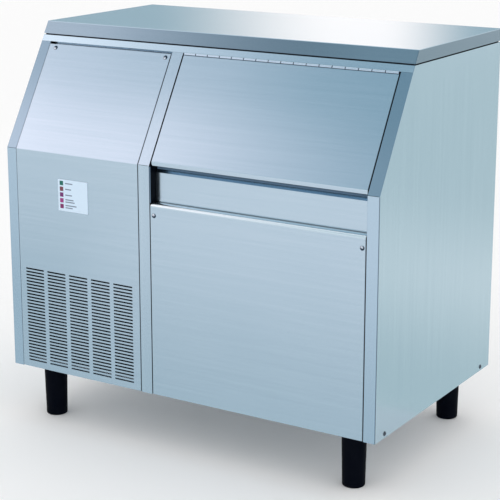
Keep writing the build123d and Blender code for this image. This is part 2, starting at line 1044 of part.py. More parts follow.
def spout_duct(grow):
    """Straight run of the ice spout from the barrel's head into the bin, grown all round."""
    z_low = head_z - 10.0
    outline = [
        (barrel_x, z_low - grow),
        (barrel_x, head_z + spout_height - spout_wall + grow),
        (left + spout_end, head_z + spout_height - spout_wall - spout_fall + grow),
        (left + spout_end, z_low - spout_fall - grow),
    ]
    face = make_face(Polyline(*outline, close=True))
    half = spout_half - spout_wall + grow
    return Pos(0, barrel_y + half, 0) * extrude(Plane.XZ * face, 2 * half)


def bin_outline(inset):
    """Side-view outline of the bin liner, grown or shrunk by a wall."""
    y_front = front + liner_front + inset
    y_back = back - liner_back - inset
    z_top = cabinet_top - liner_top - inset
    return [
        (y_front, floor + liner_bottom + inset),
        slope_at_y(y_front, frame_back + inset),
        slope_at_z(z_top, frame_back + inset),
        (y_back, z_top),
        (y_back, floor + liner_bottom + inset),
    ]


def bin_liner():
    """Seamless moulded tank that holds the ice, open on the slope, with a drain spigot in its floor."""
    x_low = left + partition_x + liner_side
    x_high = right - liner_side
    outer = prism(bin_outline(0), x_low, x_high)
    outer = fillet(outer.edges(), liner_radius)
    inner = prism(bin_outline(liner_wall), x_low + liner_wall, x_high - liner_wall)
    inner = fillet(inner.edges(), liner_radius - liner_wall)
    liner = outer - inner
    mouth = [
        slope_point(frame_low, frame_back - 1),
        slope_point(frame_high, frame_back - 1),
        slope_point(frame_high, frame_back + 2 * liner_wall),
        slope_point(frame_low, frame_back + 2 * liner_wall),
    ]
    liner -= prism(mouth, left + door_left + frame_margin, left + door_right - frame_margin)
    liner -= spout_duct(spout_wall + skin_gap)
    drain_y, drain_z = drain_place()
    low = floor + liner_bottom
    spigot = rod((drain_x, drain_y, low + 1), (drain_x, drain_y, drain_z), drain_pipe_radius - 2)
    bore = rod((drain_x, drain_y, low + 9), (drain_x, drain_y, drain_z - 1), drain_pipe_radius - 4)
    return liner + spigot - bore


def drain_place():
    """Distance from the front and height of the bin's drain."""
    return back - liner_back - 60.0, floor + liner_bottom - 6.0


def bin_insulation():
    """Foam between the bin liner and the cabinet's skins."""
    x_low = left + partition_x + sheet + skin_gap
    x_high = right - sheet - base_sheet - skin_gap
    y_low = front + recess_depth + sheet + skin_gap
    y_high = back - 2 * sheet - base_sheet - skin_gap
    z_low = floor + base_sheet + leg_plate
    z_high = cabinet_top - sheet - skin_gap
    face = frame_back + skin_gap
    outline = [
        (y_low, z_low),
        (y_low, floor + recess_top - ledge_drop),
        slope_point(ledge_along, face),
        slope_at_z(z_high, face),
        (y_high, z_high),
        (y_high, z_low),
    ]
    foam = prism(outline, x_low, x_high)
    liner_room = (left + partition_x + liner_side - foam_gap, right - liner_side + foam_gap)
    foam -= prism(bin_outline(-foam_gap), *liner_room)
    foam -= spout_duct(spout_wall + skin_gap)
    y, z = drain_place()
    channel = drain_pipe_radius + foam_gap
    low = z - 2 * drain_pipe_radius - foam_gap
    side = (drain_x - channel, drain_x + channel)
    foam -= block(*side, y - channel, y_high + 1, low, floor + liner_bottom + 1)
    for x, y in leg_centres().values():
        if x > 0:
            foam -= rod((x, y, z_low - 1), (x, y, floor + stud_length + 2), stud_radius + foam_gap)
    return foam


def drain_run():
    """Height of the drain tube's level run to the back."""
    return drain_place()[1] - drain_pipe_radius - 1.0


def bin_drain_tube():
    """Elbow from the bin's drain spigot to the back of the cabinet."""
    y, z = drain_place()
    run = drain_run()
    elbow = rod((drain_x, y, run), (drain_x, back + screw_head_height, run), drain_pipe_radius - 1)
    elbow += rod((drain_x, y, run), (drain_x, y, z + 4), drain_pipe_radius)
    elbow += Pos(drain_x, y, run) * Sphere(drain_pipe_radius)
    elbow -= rod((drain_x, y, run), (drain_x, back + 9, run), drain_pipe_radius - 3)
    return elbow - rod((drain_x, y, run), (drain_x, y, z + 5), drain_pipe_radius - 2 + stud_clearance)


def back_panel():
    """Rear sheet with a connection pocket, a field of vent slots and a top fold."""
    x_low = left + sheet
    x_high = right - sheet
    panel = block(x_low, x_high, back - sheet, back, floor, cabinet_top)
    panel += block(
        left + side_fold + 1,
        right - side_fold - 1,
        back - side_fold,
        back,
        cabinet_top - sheet,
        cabinet_top,
    )
    panel += block(*pocket_x, back - pocket_depth, back, *pocket_z)
    panel -= block(
        pocket_x[0] + sheet,
        pocket_x[1] - sheet,
        back - pocket_depth + sheet,
        back + 1,
        pocket_z[0] + sheet,
        pocket_z[1] - sheet,
    )
    fittings = ((water_inlet_x, inlet_radius), (drain_outlet_x, drain_radius), (cable_gland_x, gland_radius))
    for x, radius in fittings:
        start = (x, back - pocket_depth - 1, fitting_z)
        panel -= rod(start, (x, back - pocket_depth + 2 * sheet, fitting_z), radius - fitting_neck + skin_gap)
    run = drain_run()
    panel -= rod((drain_x, back - 9, run), (drain_x, back + 1, run), drain_pipe_radius - 1 + skin_gap)
    slots = []
    for column in range(back_slot_columns):
        for row in range(back_slot_rows):
            x = pocket_x[0] + column * back_slot_pitch_x
            z = floor + back_slot_bottom + row * back_slot_pitch_z
            slots.append(vent_slot(x, z, back_slot_length, back_slot_height, back - 2 * sheet, back + 1))
    panel -= slots
    for x in back_screw_x:
        for z in back_screw_z:
            panel -= rod((x, back - 2 * sheet, z), (x, back + 1, z), screw_hole)
    return panel


def threaded_fitting(x, outer, bore, inside):
    """Round fitting through the pocket's wall with a hexagon nut outside and a spigot inside."""
    z = fitting_z
    wall_out = back - pocket_depth + sheet
    wall_in = back - pocket_depth
    tip = back - fitting_tip
    body = rod((x, wall_out, z), (x, tip, z), outer)
    hexagon = extrude(RegularPolygon(outer + fitting_nut_proud, 6), fitting_nut)
    nut = Plane(origin=(x, wall_out, z), z_dir=(0, 1, 0)) * hexagon
    neck = rod((x, wall_in - inside, z), (x, wall_out + 1, z), outer - fitting_neck)
    collar = rod((x, wall_in - fitting_nut_proud, z), (x, wall_in, z), outer)
    return body + nut + neck + collar - rod((x, wall_in - inside - 1, z), (x, tip + 1, z), bore)


def water_inlet():
    """Threaded inlet nipple in the connection pocket."""
    return threaded_fitting(water_inlet_x, inlet_radius, fitting_bore, fitting_inside)


def drain_outlet():
    """Drain spigot in the connection pocket."""
    return threaded_fitting(drain_outlet_x, drain_radius, fitting_bore, 0.8 * fitting_inside)


def cable_gland():
    """Gland for the supply lead in the connection pocket."""
    gland = threaded_fitting(cable_gland_x, gland_radius, gland_bore, 0.4 * fitting_inside)
    end = gland.faces().sort_by(Axis.Y)[-1]
    return fillet(end.edges().sort_by(Edge.length)[-1], gland_edge)


def front_panel_screws():
    """Four round-headed screws at the top corners of the two front covers."""
    screws = []
    for x in service_screw_x:
        screws.append(screw_at(x, *slope_point(service_screw_along, 0), slope_outward, header_fold + 3))
    for x in lower_screw_x:
        screws.append(screw_at(x, front, lower_screw_z, (0, -1, 0), recess_depth + sheet))
    return screws


def casing_screws():
    """Screws that hold the side sheets to the base pan and the back panel to the side sheets."""
    screws = []
    for side in (-1, 1):
        for y in side_screw_y:
            screws.append(screw_at(side * width / 2, y, side_screw_z, (side, 0, 0), sheet + base_sheet))
    for x in back_screw_x:
        for z in back_screw_z:
            screws.append(screw_at(x, back, z, (0, 1, 0), 2 * sheet))
    return screws


def condenser_coil():
    """Fin block between end plates, with the return bends and the two connections of its tubes."""
    x_low, x_high = condenser_x
    y_low, y_high = condenser_y
    z_low, z_high = condenser_z
    coil = block(
        x_low + end_room,
        x_high - end_room,
        y_low + fin_proud,
        y_high - fin_proud,
        z_low + coil_end,
        z_high - coil_end,
    )
    count = int((x_high - x_low - 2 * end_room) / fin_pitch)
    fins = []
    for i in range(1, count + 1):
        x = x_low + end_room + i * fin_pitch
        fins.append(block(x, x + fin_wall, y_low, y_high, z_low + fin_end, z_high - fin_end))
    for x in (x_low + end_room, x_high - end_room - shroud_wall):
        fins.append(block(x, x + shroud_wall, y_low, y_high, z_low, z_high))
    middle = (y_low + y_high) / 2
    for i in range(bend_count):
        fins.append(return_bend(x_low + end_room, middle, z_low + (i + 1) * bend_rise, -1))
        fins.append(return_bend(x_high - end_room, middle, z_low + (i + 0.5) * bend_rise, 1))
    stub_z = z_high - stub_drop
    for x, side in ((x_low, 1), (x_high, -1)):
        stub_x = x + side * stub_inset
        low = stub_z - line_radius
        fins.append(rod((stub_x, middle, low), (stub_x, middle, z_high + stub_rise), line_radius))
        fins.append(rod((stub_x, middle, stub_z), (x + side * (end_room + 1), middle, stub_z), line_radius))
    return coil + fins


def return_bend(x, y, z, side):
    """Half-round tube bend on the side of the coil."""
    start = Plane(origin=(x, y, z - bend_half), z_dir=(side, 0, 0)) * Circle(line_radius - 0.5)
    path = ThreePointArc((x, y, z - bend_half), (x + side * bend_half, y, z), (x, y, z + bend_half))
    return sweep(start, path=path)


def fan_shroud():
    """Plate and collar round the fan, with arms that carry the motor."""
    x_low, x_high = condenser_x
    ring_radius = fan_radius + fan_gap
    y_low = shroud_y
    y_high = shroud_y + shroud_depth
    plate = block(x_low, x_high, y_low, y_low + shroud_wall, floor + base_sheet, condenser_z[1])
    plate += block(x_low, x_high, condenser_y[1], y_low, condenser_z[1] - shroud_wall, condenser_z[1])
    for x in (x_low, x_high - shroud_wall):
        plate += block(x, x + shroud_wall, condenser_y[1], y_low, floor + base_sheet, condenser_z[1])
    shroud = plate + rod((fan_x, y_low, fan_z), (fan_x, y_high, fan_z), ring_radius + shroud_wall)
    shroud -= rod((fan_x, y_low - 1, fan_z), (fan_x, y_high + 1, fan_z), ring_radius)
    arm_y = y_high - arm_wall
    mount = ring((fan_x, arm_y, fan_z), (fan_x, y_high, fan_z), motor_radius, 2 * shaft_radius)
    for angle in (90, 210, 330):
        arm = block(-arm_half, arm_half, 0, arm_wall, motor_radius - arm_wall, ring_radius + shroud_wall / 2)
        mount += Pos(fan_x, arm_y, fan_z) * Rot(0, angle, 0) * arm
    return shroud + mount


def fan_motor():
    """Small motor behind the shroud's arms, with its shaft forward through them."""
    y_low = shroud_y + shroud_depth
    body = rod((fan_x, y_low, fan_z), (fan_x, y_low + motor_length, fan_z), motor_radius)
    body = fillet(body.edges().sort_by(Axis.Y)[-1], motor_edge)
    groove = block(
        -rib_half,
        rib_half,
        rib_end,
        motor_length - rib_end,
        motor_radius - rib_depth,
        motor_radius + 1,
    )
    for i in range(motor_ribs):
        body -= Pos(fan_x, y_low, fan_z) * Rot(0, i * 360 / motor_ribs, 0) * groove
    shaft = rod((fan_x, shroud_y + shaft_start, fan_z), (fan_x, y_low + 1, fan_z), shaft_radius)
    return body + shaft


def blade_section(radius, chord, pitch):
    """Crescent section of a fan blade at a radius, turned to its pitch."""
    a = (-chord / 2, 0)
    b = (chord / 2, 0)
    arcs = ThreePointArc(a, (0, blade_camber + blade_wall), b) + ThreePointArc(b, (0, blade_camber), a)
    return Plane.XY.offset(radius) * Rot(0, 0, pitch) * make_face(arcs)


def fan_blade():
    """Hub with five twisted blades."""
    y_low = shroud_y + 3.0
    y_high = shroud_y + shroud_depth - 10.0
    hub = rod((fan_x, y_low, fan_z), (fan_x, y_high, fan_z), fan_hub_radius)
    hub = fillet(hub.edges().sort_by(Axis.Y)[0], fan_hub_edge)
    middle = (y_low + y_high) / 2
    root = blade_section(fan_hub_radius - 4, *blade_root)
    belly = blade_section(0.6 * fan_radius, *blade_belly)
    tip = blade_section(fan_radius, *blade_tip)
    blade = loft([root, belly, tip])
    blades = [Pos(fan_x, middle, fan_z) * Rot(0, i * 360 / fan_blades, 0) * blade for i in range(fan_blades)]
    fan = hub + blades
    bore_y = shroud_y + shaft_start - 0.5
    bore = rod((fan_x, bore_y, fan_z), (fan_x, y_high + 1, fan_z), shaft_radius + shaft_clearance)
    return fan - bore


def gearbox():
    """Cast gear housing under the barrel on four pillars."""
    half = gearbox_half
    z_low, z_high = gearbox_z
    box = block(barrel_x - half, barrel_x + half, barrel_y - half, barrel_y + half, z_low, z_high)
    box = fillet(box.edges().filter_by(Axis.Z), gearbox_corner)
    box = fillet(box.edges().group_by(Axis.Z)[-1], gearbox_edge)
    reach = half - pillar_inset
    seat = floor + base_sheet
    for x in (barrel_x - reach, barrel_x + reach):
        for y in (barrel_y - reach, barrel_y + reach):
            box += rod((x, y, seat), (x, y, z_low + 1), pillar_radius)
            box += rod((x, y, seat), (x, y, seat + pillar_foot), pillar_foot_radius)
    bore_low = z_high - auger_tail - gearbox_edge
    return box - rod((barrel_x, barrel_y, bore_low), (barrel_x, barrel_y, z_high + 1), auger_hole)


def drive_motor():
    """Drive motor hung under the gear housing."""
    z_high = gearbox_z[0]
    z_low = floor + main_motor_gap
    r = main_motor_radius
    body = rod((barrel_x, barrel_y, z_low), (barrel_x, barrel_y, z_high), r)
    body = fillet(body.edges().sort_by(Axis.Z)[0], motor_edge)
    groove = block(-rib_half, rib_half, r - rib_depth, r + 1, z_low + rib_end, z_high - rib_end)
    for i in range(main_motor_ribs):
        body -= Pos(barrel_x, barrel_y, 0) * Rot(0, 0, i * 360 / main_motor_ribs) * groove
    return body


def freezing_barrel():
    """Double-walled tube in which the ice forms, with end flanges, refrigerant ports and a water inlet."""
    z_low, z_high = barrel_z
    outer = barrel_bore + barrel_wall
    barrel = rod((barrel_x, barrel_y, z_low), (barrel_x, barrel_y, z_high), outer)
    for z in (z_low, z_high - flange_height):
        barrel += rod((barrel_x, barrel_y, z), (barrel_x, barrel_y, z + flange_height), barrel_flange)
    sleeve = (z_low + sleeve_low, z_high - sleeve_high)
    barrel += rod((barrel_x, barrel_y, sleeve[0]), (barrel_x, barrel_y, sleeve[1]), outer + sleeve_wall)
    for z in port_z:
        barrel += rod((barrel_x, barrel_y - outer, z), (barrel_x, port_y, z), port_radius)
    inlet_z = z_low + water_inlet_rise
    inlet_end = barrel_y + outer + water_inlet_length
    barrel += rod((barrel_x, inlet_end, inlet_z), (barrel_x, barrel_y, inlet_z), hose_bore)
    barrel -= rod((barrel_x, inlet_end + 1, inlet_z), (barrel_x, barrel_y, inlet_z), hose_bore - 2)
    return barrel - rod((barrel_x, barrel_y, z_low - 1), (barrel_x, barrel_y, z_high + 1), barrel_bore)


def barrel_insulation():
    """Foam jacket round the barrel's outer wall."""
    z_low = barrel_z[0] + sleeve_low
    z_high = barrel_z[1] - flange_height - skin_gap
    inner = barrel_bore + barrel_wall + sleeve_wall + skin_gap
    jacket = ring((barrel_x, barrel_y, z_low), (barrel_x, barrel_y, z_high), jacket_radius, inner)
    for z in port_z:
        jacket -= rod((barrel_x, barrel_y - inner + 2, z), (barrel_x, port_y, z), port_radius + skin_gap)
    return jacket


def auger():
    """Ice auger: a shaft with a helical flight that turns just clear of the barrel's bore."""
    z_low = barrel_z[0] + 8
    z_high = barrel_z[1] - 4
    flight_radius = barrel_bore - auger_gap
    rise = z_high - z_low
    bar = Rectangle(flight_radius - 4, auger_bar, align=(Align.MIN, Align.CENTER))
    section = Plane.XY.offset(z_low) * (Pos(4, 0) * bar & Circle(flight_radius))
    flight = Solid.extrude_linear_with_rotation(
        section.face(), center=Vector(0, 0, z_low), normal=Vector(0, 0, rise), angle=360.0 * auger_turns
    )
    shaft = rod((0, 0, z_low), (0, 0, z_high), auger_core)
    shaft += rod((0, 0, gearbox_z[1] - auger_tail), (0, 0, z_low + 1), auger_shaft)
    shaft += rod((0, 0, z_high - 1), (0, 0, head_z - 6), auger_shaft)
    return Pos(barrel_x, barrel_y, 0) * (shaft + flight)


def ice_breaker_head():
    """Head on the barrel with the auger's upper bearing and a ring of ports that break the ice."""
    z_low = barrel_z[1]
    head = rod((barrel_x, barrel_y, z_low), (barrel_x, barrel_y, z_low + flange_height), barrel_flange)
    head += rod((barrel_x, barrel_y, z_low), (barrel_x, barrel_y, head_z), head_radius)
    head -= rod((barrel_x, barrel_y, z_low - 1), (barrel_x, barrel_y, head_z + 1), auger_hole)
    for i in range(head_ports):
        angle = 2 * math.pi * i / head_ports
        x = barrel_x + port_ring * math.cos(angle)
        y = barrel_y + port_ring * math.sin(angle)
        head -= rod((x, y, z_low - 1), (x, y, head_z + 1), ice_port_radius)
    return head


def ice_spout():
    """Hood over the head with a falling duct through the wall into the bin."""
    outer_radius = head_radius + skin_gap + spout_wall
    z_high = head_z + spout_height
    z_low = barrel_z[1] + flange_height
    hood = rod((barrel_x, barrel_y, z_low), (barrel_x, barrel_y, z_high), outer_radius)
    hood += spout_duct(spout_wall)
    inner_radius = outer_radius - spout_wall
    inner = rod((barrel_x, barrel_y, z_low - 1), (barrel_x, barrel_y, z_high - spout_wall), inner_radius)
    duct = spout_duct(0)
    side = (barrel_y - spout_half, barrel_y + spout_half)
    keep = block(barrel_x, left + spout_end + 1, *side, z_low, z_high + 1)
    return hood - inner - (duct & keep)


def compressor():
    """Sealed compressor shell with its weld flange, terminal box and foot plate."""
    r = compressor_radius
    base = floor + base_sheet + grommet_height
    bottom = base + foot_plate
    high = base + compressor_height - compressor_dome
    corner = r - compressor_corner
    seam = base + compressor_seam
    outline = make_face(
        Polyline((0, bottom), (corner, bottom))
        + CenterArc((corner, bottom + compressor_corner), compressor_corner, -90, 90)
        + Polyline(
            (r, bottom + compressor_corner),
            (r, seam),
            (r + seam_width, seam),
            (r + seam_width, seam + seam_height),
            (r, seam + seam_height),
            (r, high),
        )
        + CenterArc((r - compressor_dome, high), compressor_dome, 0, 90)
        + Polyline((r - compressor_dome, high + compressor_dome), (0, high + compressor_dome), (0, bottom))
    )
    shell = revolve(Plane.XZ * outline, Axis.Z)
    plate = extrude(RectangleRounded(2 * r + seam_height, 1.5 * r, foot_corner), foot_plate)
    for x, y in grommet_offsets():
        plate -= Pos(x, y, 0) * Cylinder(foot_hole, 4 * foot_plate)
    shell = shell + Pos(0, 0, base) * plate
    terminal_z = [base + rise for rise in terminal_rise]
    shell += block(-r - terminal_proud, -r * 0.6, -terminal_half, terminal_half, *terminal_z)
    shell = Pos(compressor_x, compressor_y, 0) * shell
    for angle, radius in zip(stub_angles, (port_radius, line_radius)):
        x, y = stub_place(angle)
        shell += rod((x, y, base + stub_low), (x, y, stub_top), radius)
    return shell


def stub_place(angle):
    """Place of one of the compressor's line connections."""
    x = compressor_x + stub_ring * math.cos(math.radians(angle))
    return x, compressor_y + stub_ring * math.sin(math.radians(angle))


def grommet_offsets():
    """Feet of the compressor about its axis."""
    x = compressor_radius - foot_inset_x
    y = 0.75 * compressor_radius - foot_inset_y
    return [(-x, -y), (-x, y), (x, -y), (x, y)]


def compressor_grommets():
    """Four rubber feet between the compressor and the base pan."""
    low = floor + base_sheet
    feet = []
    for x, y in grommet_offsets():
        cx = compressor_x + x
        cy = compressor_y + y
        foot = rod((cx, cy, low), (cx, cy, low + grommet_height), grommet_radius)
        collar_low = low + grommet_height + foot_plate + skin_gap
        collar_high = collar_low + collar_height
        foot += rod((cx, cy, low), (cx, cy, collar_high), foot_hole - skin_gap)
        foot += rod((cx, cy, collar_low), (cx, cy, collar_high), collar_radius)
        feet.append(foot)
    return feet


def float_tank():
    """Small open water tank on the back panel that keeps the level in the barrel."""
    x_low, x_high = tank_x
    z_low, z_high = tank_z
    y_high = back - sheet
    y_low = y_high - tank_depth
    tank = block(x_low, x_high, y_low, y_high, z_low, z_high)
    tank = fillet(tank.edges().filter_by(Axis.Z), tank_corner)
    hollow = block(
        x_low + tank_wall,
        x_high - tank_wall,
        y_low + tank_wall,
        y_high - tank_wall,
        z_low + tank_wall,
        z_high + 1,
    )
    hollow = fillet(hollow.edges().filter_by(Axis.Z), tank_corner - tank_wall)
    middle_y = (y_low + y_high) / 2
    x = x_high - tank_spigot_inset
    end = z_low - tank_spigot_length
    spigot = rod((x, middle_y, end), (x, middle_y, z_low + 1), spigot_radius)
    bore = rod((x, middle_y, end - 1), (x, middle_y, z_low + 2 * tank_wall), spigot_bore)
    return tank - hollow + spigot - bore


def float_tank_lid():
    """Lid of the water tank with the fill valve and the lugs of the float's arm."""
    x_low, x_high = tank_x
    y_high = back - sheet
    y_low = y_high - tank_depth
    z = tank_z[1]
    lid = block(x_low, x_high, y_low, y_high, z, z + lid_wall)
    lid = fillet(lid.edges().filter_by(Axis.Z), tank_corner)
    pivot_x, pivot_y, pivot_z = float_pivot()
    for x in (pivot_x - lug_reach, pivot_x + lug_reach - lug_wall):
        lid += block(x, x + lug_wall, pivot_y - lug_half, pivot_y + lug_half, pivot_z - lug_half, z + 1)
    lid += rod((pivot_x - lug_reach, pivot_y, pivot_z), (pivot_x + lug_reach, pivot_y, pivot_z), float_pin)
    valve_y = pivot_y - valve_gap
    valve_z = (z - valve_drop, z + valve_rise)
    lid += rod((pivot_x, valve_y, valve_z[0]), (pivot_x, valve_y, valve_z[1]), valve_radius)
    return lid - rod((pivot_x, valve_y, valve_z[0] - 1), (pivot_x, valve_y, valve_z[1] + 1), valve_bore)


def float_pivot():
    """Pivot of the float's arm."""
    middle_x = (tank_x[0] + tank_x[1]) / 2
    return (middle_x, back - sheet - tank_depth + 30.0, tank_z[1] - valve_drop)


def water_float():
    """Float on an arm that turns about the lid's pin."""
    x, y, z = float_pivot()
    half = float_arm_half
    rise = float_arm_wall / 2
    end = y + float_arm_length
    arm = rod((x - float_eye_half, y, z), (x + float_eye_half, y, z), float_eye)
    arm += block(x - half, x + half, y, end, z - rise, z + rise)
    arm += block(x - half, x + half, end - 2 * half, end, z + float_z[1] - 2, z + rise)
    body = block(x - float_half, x + float_half, *[y + v for v in float_y], *[z + v for v in float_z])
    body = fillet(body.edges(), float_edge)
    return arm + body - rod((x - float_eye, y, z), (x + float_eye, y, z), float_pin + shaft_clearance)


def control_box():
    """Folded box on the partition for the electrical parts."""
    x_high = left + partition_x
    x_low = x_high - control_depth
    box = block(x_low, x_high, *control_y, *control_z)
    return box - block(
        x_low - 1,
        x_high - control_wall,
        control_y[0] + control_wall,
        control_y[1] - control_wall,
        control_z[0] + control_wall,
        control_z[1] - control_wall,
    )


def control_box_cover():
    """Lid of the electrical box with its edges turned over the box."""
    x_high = left + partition_x - control_depth
    grow = control_wall + skin_gap
    cover = block(
        x_high - control_wall,
        x_high + cover_turn,
        control_y[0] - grow,
        control_y[1] + grow,
        control_z[0] - grow,
        control_z[1] + grow,
    )
    return cover - block(
        x_high,
        x_high + cover_turn + 1,
        control_y[0] - skin_gap,
        control_y[1] + skin_gap,
        control_z[0] - skin_gap,
        control_z[1] + skin_gap,
    )


def control_board():
    """Circuit board with a relay, a transformer and a capacitor, on stand-offs in the electrical box."""
    x_wall = left + partition_x - control_wall
    x_board = x_wall - board_stand
    x_face = x_board - board_wall
    y_low = control_y[0] + board_margin
    y_high = control_y[1] - board_margin
    z_low = control_z[0] + board_margin
    z_high = control_z[1] - board_margin
    y_span = y_high - y_low
    board = block(x_face, x_board, y_low, y_high, z_low, z_high)
    for y in (y_low + board_post_inset, y_high - board_post_inset):
        for z in (z_low + board_post_inset, z_high - board_post_inset):
            board += rod((x_board, y, z), (x_wall, y, z), board_post_radius)
    transformer = (x_face - 28, x_board, y_low + 0.1 * y_span, y_low + 0.43 * y_span, z_low + 20, z_low + 66)
    relay = (x_face - 16, x_board, y_low + 0.57 * y_span, y_low + 0.71 * y_span, z_low + 24, z_low + 52)
    board += block(*transformer)
    board += block(*relay)
    capacitor_y = y_low + 0.26 * y_span
    capacitor_z = z_high - 40
    return board + rod((x_board, capacitor_y, capacitor_z), (x_face - 34, capacitor_y, capacitor_z), 15.0)


def suction_line():
    """Line from the barrel's upper port to the compressor."""
    x, y = stub_place(stub_angles[0])
    z = port_z[1]
    turn_y = port_y - suction_turn
    points = [(barrel_x, port_y, z), (barrel_x, turn_y, z), (x, turn_y, z), (x, y, z), (x, y, stub_top)]
    return tube(points, port_radius, suction_bend)


def discharge_line():
    """Line from the compressor to the top of the condenser."""
    x, y = stub_place(stub_angles[1])
    end_x = condenser_x[0] + stub_inset
    end_y = (condenser_y[0] + condenser_y[1]) / 2
    end_z = condenser_z[1] + stub_rise
    high = condenser_z[1] + discharge_rise
    points = [(x, y, stub_top), (x, y, high), (end_x, end_y, high), (end_x, end_y, end_z)]
    return tube(points, line_radius, line_bend)


def filter_drier():
    """Filter drier in the liquid line, a short can with necked ends."""
    r = drier_radius
    half = drier_length / 2
    profile = make_face(
        Polyline(
            (0, -half),
            (line_radius, -half),
            (line_radius, drier_neck - half),
            (r, drier_shoulder - half),
            (r, half - drier_shoulder),
            (line_radius, half - drier_neck),
            (line_radius, half),
            (0, half),
            close=True,
        )
    )
    can = revolve(Plane.XZ * profile, Axis.Z)
    return Pos(drier_x, drier_y, drier_z) * Rot(0, 90, 0) * can


def liquid_line():
    """Lines from the condenser to the drier and from the drier to the barrel's lower port."""
    start_x = condenser_x[1] - stub_inset
    start_y = (condenser_y[0] + condenser_y[1]) / 2
    half = drier_length / 2
    first = [
        (start_x, start_y, condenser_z[1] + stub_rise),
        (start_x, start_y, drier_z),
        (start_x, drier_y, drier_z),
        (drier_x + half, drier_y, drier_z),
    ]
    turn_x = drier_x - half - drier_turn
    second = [
        (drier_x - half, drier_y, drier_z),
        (turn_x, drier_y, drier_z),
        (turn_x, drier_y, port_z[0]),
        (barrel_x, drier_y, port_z[0]),
        (barrel_x, port_y, port_z[0]),
    ]
    return [tube(first, line_radius, line_bend), tube(second, line_radius, line_bend)]


def water_feed_hose():
    """Hose from the water tank's spigot down to the barrel's inlet."""
    x = tank_x[1] - tank_spigot_inset
    y = back - sheet - tank_depth / 2
    z = barrel_z[0] + water_inlet_rise
    seat = barrel_y + barrel_bore + barrel_wall + hose_seat
    points = [(x, y, tank_z[0] - hose_seat), (x, y, z), (barrel_x, y, z), (barrel_x, seat, z)]
    hose = tube(points, hose_bore + hose_wall, hose_bend)
    return hose - tube(points, hose_bore + stud_clearance, hose_bend)


def write_nodes():
    """Build each piece once and write it to its own file."""
    nodes = {
        "worktop": worktop,
        "worktop_seal": worktop_seal,
        "left_side_panel": left_side_panel,
        "right_side_panel": right_side_panel,
        "back_panel": back_panel,
        "header_rail": header_rail,
        "middle_front_post": middle_front_post,
        "left_service_panel": left_service_panel,
        "lower_front_panel": lower_front_panel,
        "bin_front_skin": bin_front_skin,
        "bin_opening_frame": bin_opening_frame,
        "bin_liner": bin_liner,
        "bin_insulation": bin_insulation,
        "bin_partition": partition,
        "bin_drain_tube": bin_drain_tube,
        "base_pan": base_pan,
        "leg_mounting_plates": leg_mounting_plates,
        "bin_door_skin": bin_door_skin,
        "bin_door_liner": bin_door_liner,
        "bin_door_foam": bin_door_foam,
        "door_gasket": door_gasket,
        "hinge_frame_leaf": hinge_frame_leaf,
        "hinge_door_leaf": hinge_door_leaf,
        "hinge_pin": hinge_pin,
        "front_panel_screws": front_panel_screws,
        "casing_screws": casing_screws,
        "status_label": status_label,
        "status_light_lenses": status_light_lenses,
        "indicator_board": indicator_board,
        "compressor": compressor,
        "compressor_grommets": compressor_grommets,
        "condenser_coil": condenser_coil,
        "fan_shroud": fan_shroud,
        "fan_blade": fan_blade,
        "fan_motor": fan_motor,
        "freezing_barrel": freezing_barrel,
        "barrel_insulation": barrel_insulation,
        "auger": auger,
        "ice_breaker_head": ice_breaker_head,
        "gearbox": gearbox,
        "drive_motor": drive_motor,
        "ice_spout": ice_spout,
        "float_tank": float_tank,
        "float_tank_lid": float_tank_lid,
        "water_float": water_float,
        "water_feed_hose": water_feed_hose,
        "control_box": control_box,
        "control_box_cover": control_box_cover,
        "control_board": control_board,
        "filter_drier": filter_drier,
        "suction_line": suction_line,
        "discharge_line": discharge_line,
        "liquid_line": liquid_line,
        "water_inlet": water_inlet,
        "drain_outlet": drain_outlet,
        "cable_gland": cable_gland,
    }
    for name, build in nodes.items():
        write_node(name, build())
    for name, centre in leg_centres().items():
        write_node(name, leg(*centre))


def write_node(name, shape):
    """Write one piece, or a group of like pieces, as one file."""
    pieces = shape if isinstance(shape, list) else [shape]
    solids = [solid for piece in pieces for solid in piece.solids()]
    whole = solids[0] if len(solids) == 1 else Compound(children=solids)
    export_step(whole, f"parts/{name}.step")


write_nodes()
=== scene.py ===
# %% [markdown]
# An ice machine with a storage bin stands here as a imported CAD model: folded stainless sheets, a
# hinged bin door, four black legs, and the cooling machinery behind the left front panel. Its
# shapes are finished in the CAD file, so this notebook gives every piece the surface that the
# real one has, and sets up the camera and the studio that show it.

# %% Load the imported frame
import math

import bpy
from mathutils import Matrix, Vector


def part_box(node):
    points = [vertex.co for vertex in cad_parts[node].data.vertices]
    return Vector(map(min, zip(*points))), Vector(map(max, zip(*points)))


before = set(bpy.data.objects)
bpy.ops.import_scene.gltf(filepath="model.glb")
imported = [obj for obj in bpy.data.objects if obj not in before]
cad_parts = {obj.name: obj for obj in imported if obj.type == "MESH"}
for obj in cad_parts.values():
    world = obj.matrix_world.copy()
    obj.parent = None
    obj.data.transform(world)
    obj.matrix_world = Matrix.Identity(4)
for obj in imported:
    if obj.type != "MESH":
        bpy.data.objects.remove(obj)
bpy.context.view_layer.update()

# %% [markdown]
# The camera comes first, because every later choice is judged through it. A product photograph of
# a cabinet is taken from some metres away with a long lens, so that the upright edges stay nearly
# parallel. The object is seen from its front right, a little from above. A small downward shift
# of the picture keeps the uprights straighter than a steeper tilt would.

# %% Camera
camera_place = (1.8068, -2.9073, 1.3276)
camera_turn = 31.911
camera_tilt = -13.655
camera_data = bpy.data.cameras.new("photo_camera")
camera_data.sensor_width = 36.0
camera_data.lens = 110.75
camera_data.shift_y = -0.08
camera = bpy.data.objects.new("photo_camera", camera_data)
camera.location = camera_place
camera.rotation_euler = (math.radians(90 + camera_tilt), 0, math.radians(camera_turn))
bpy.context.scene.collection.objects.link(camera)
bpy.context.scene.camera = camera
bpy.context.scene.view_settings.view_transform = "Standard"
print("camera", camera_data.lens, "mm lens")

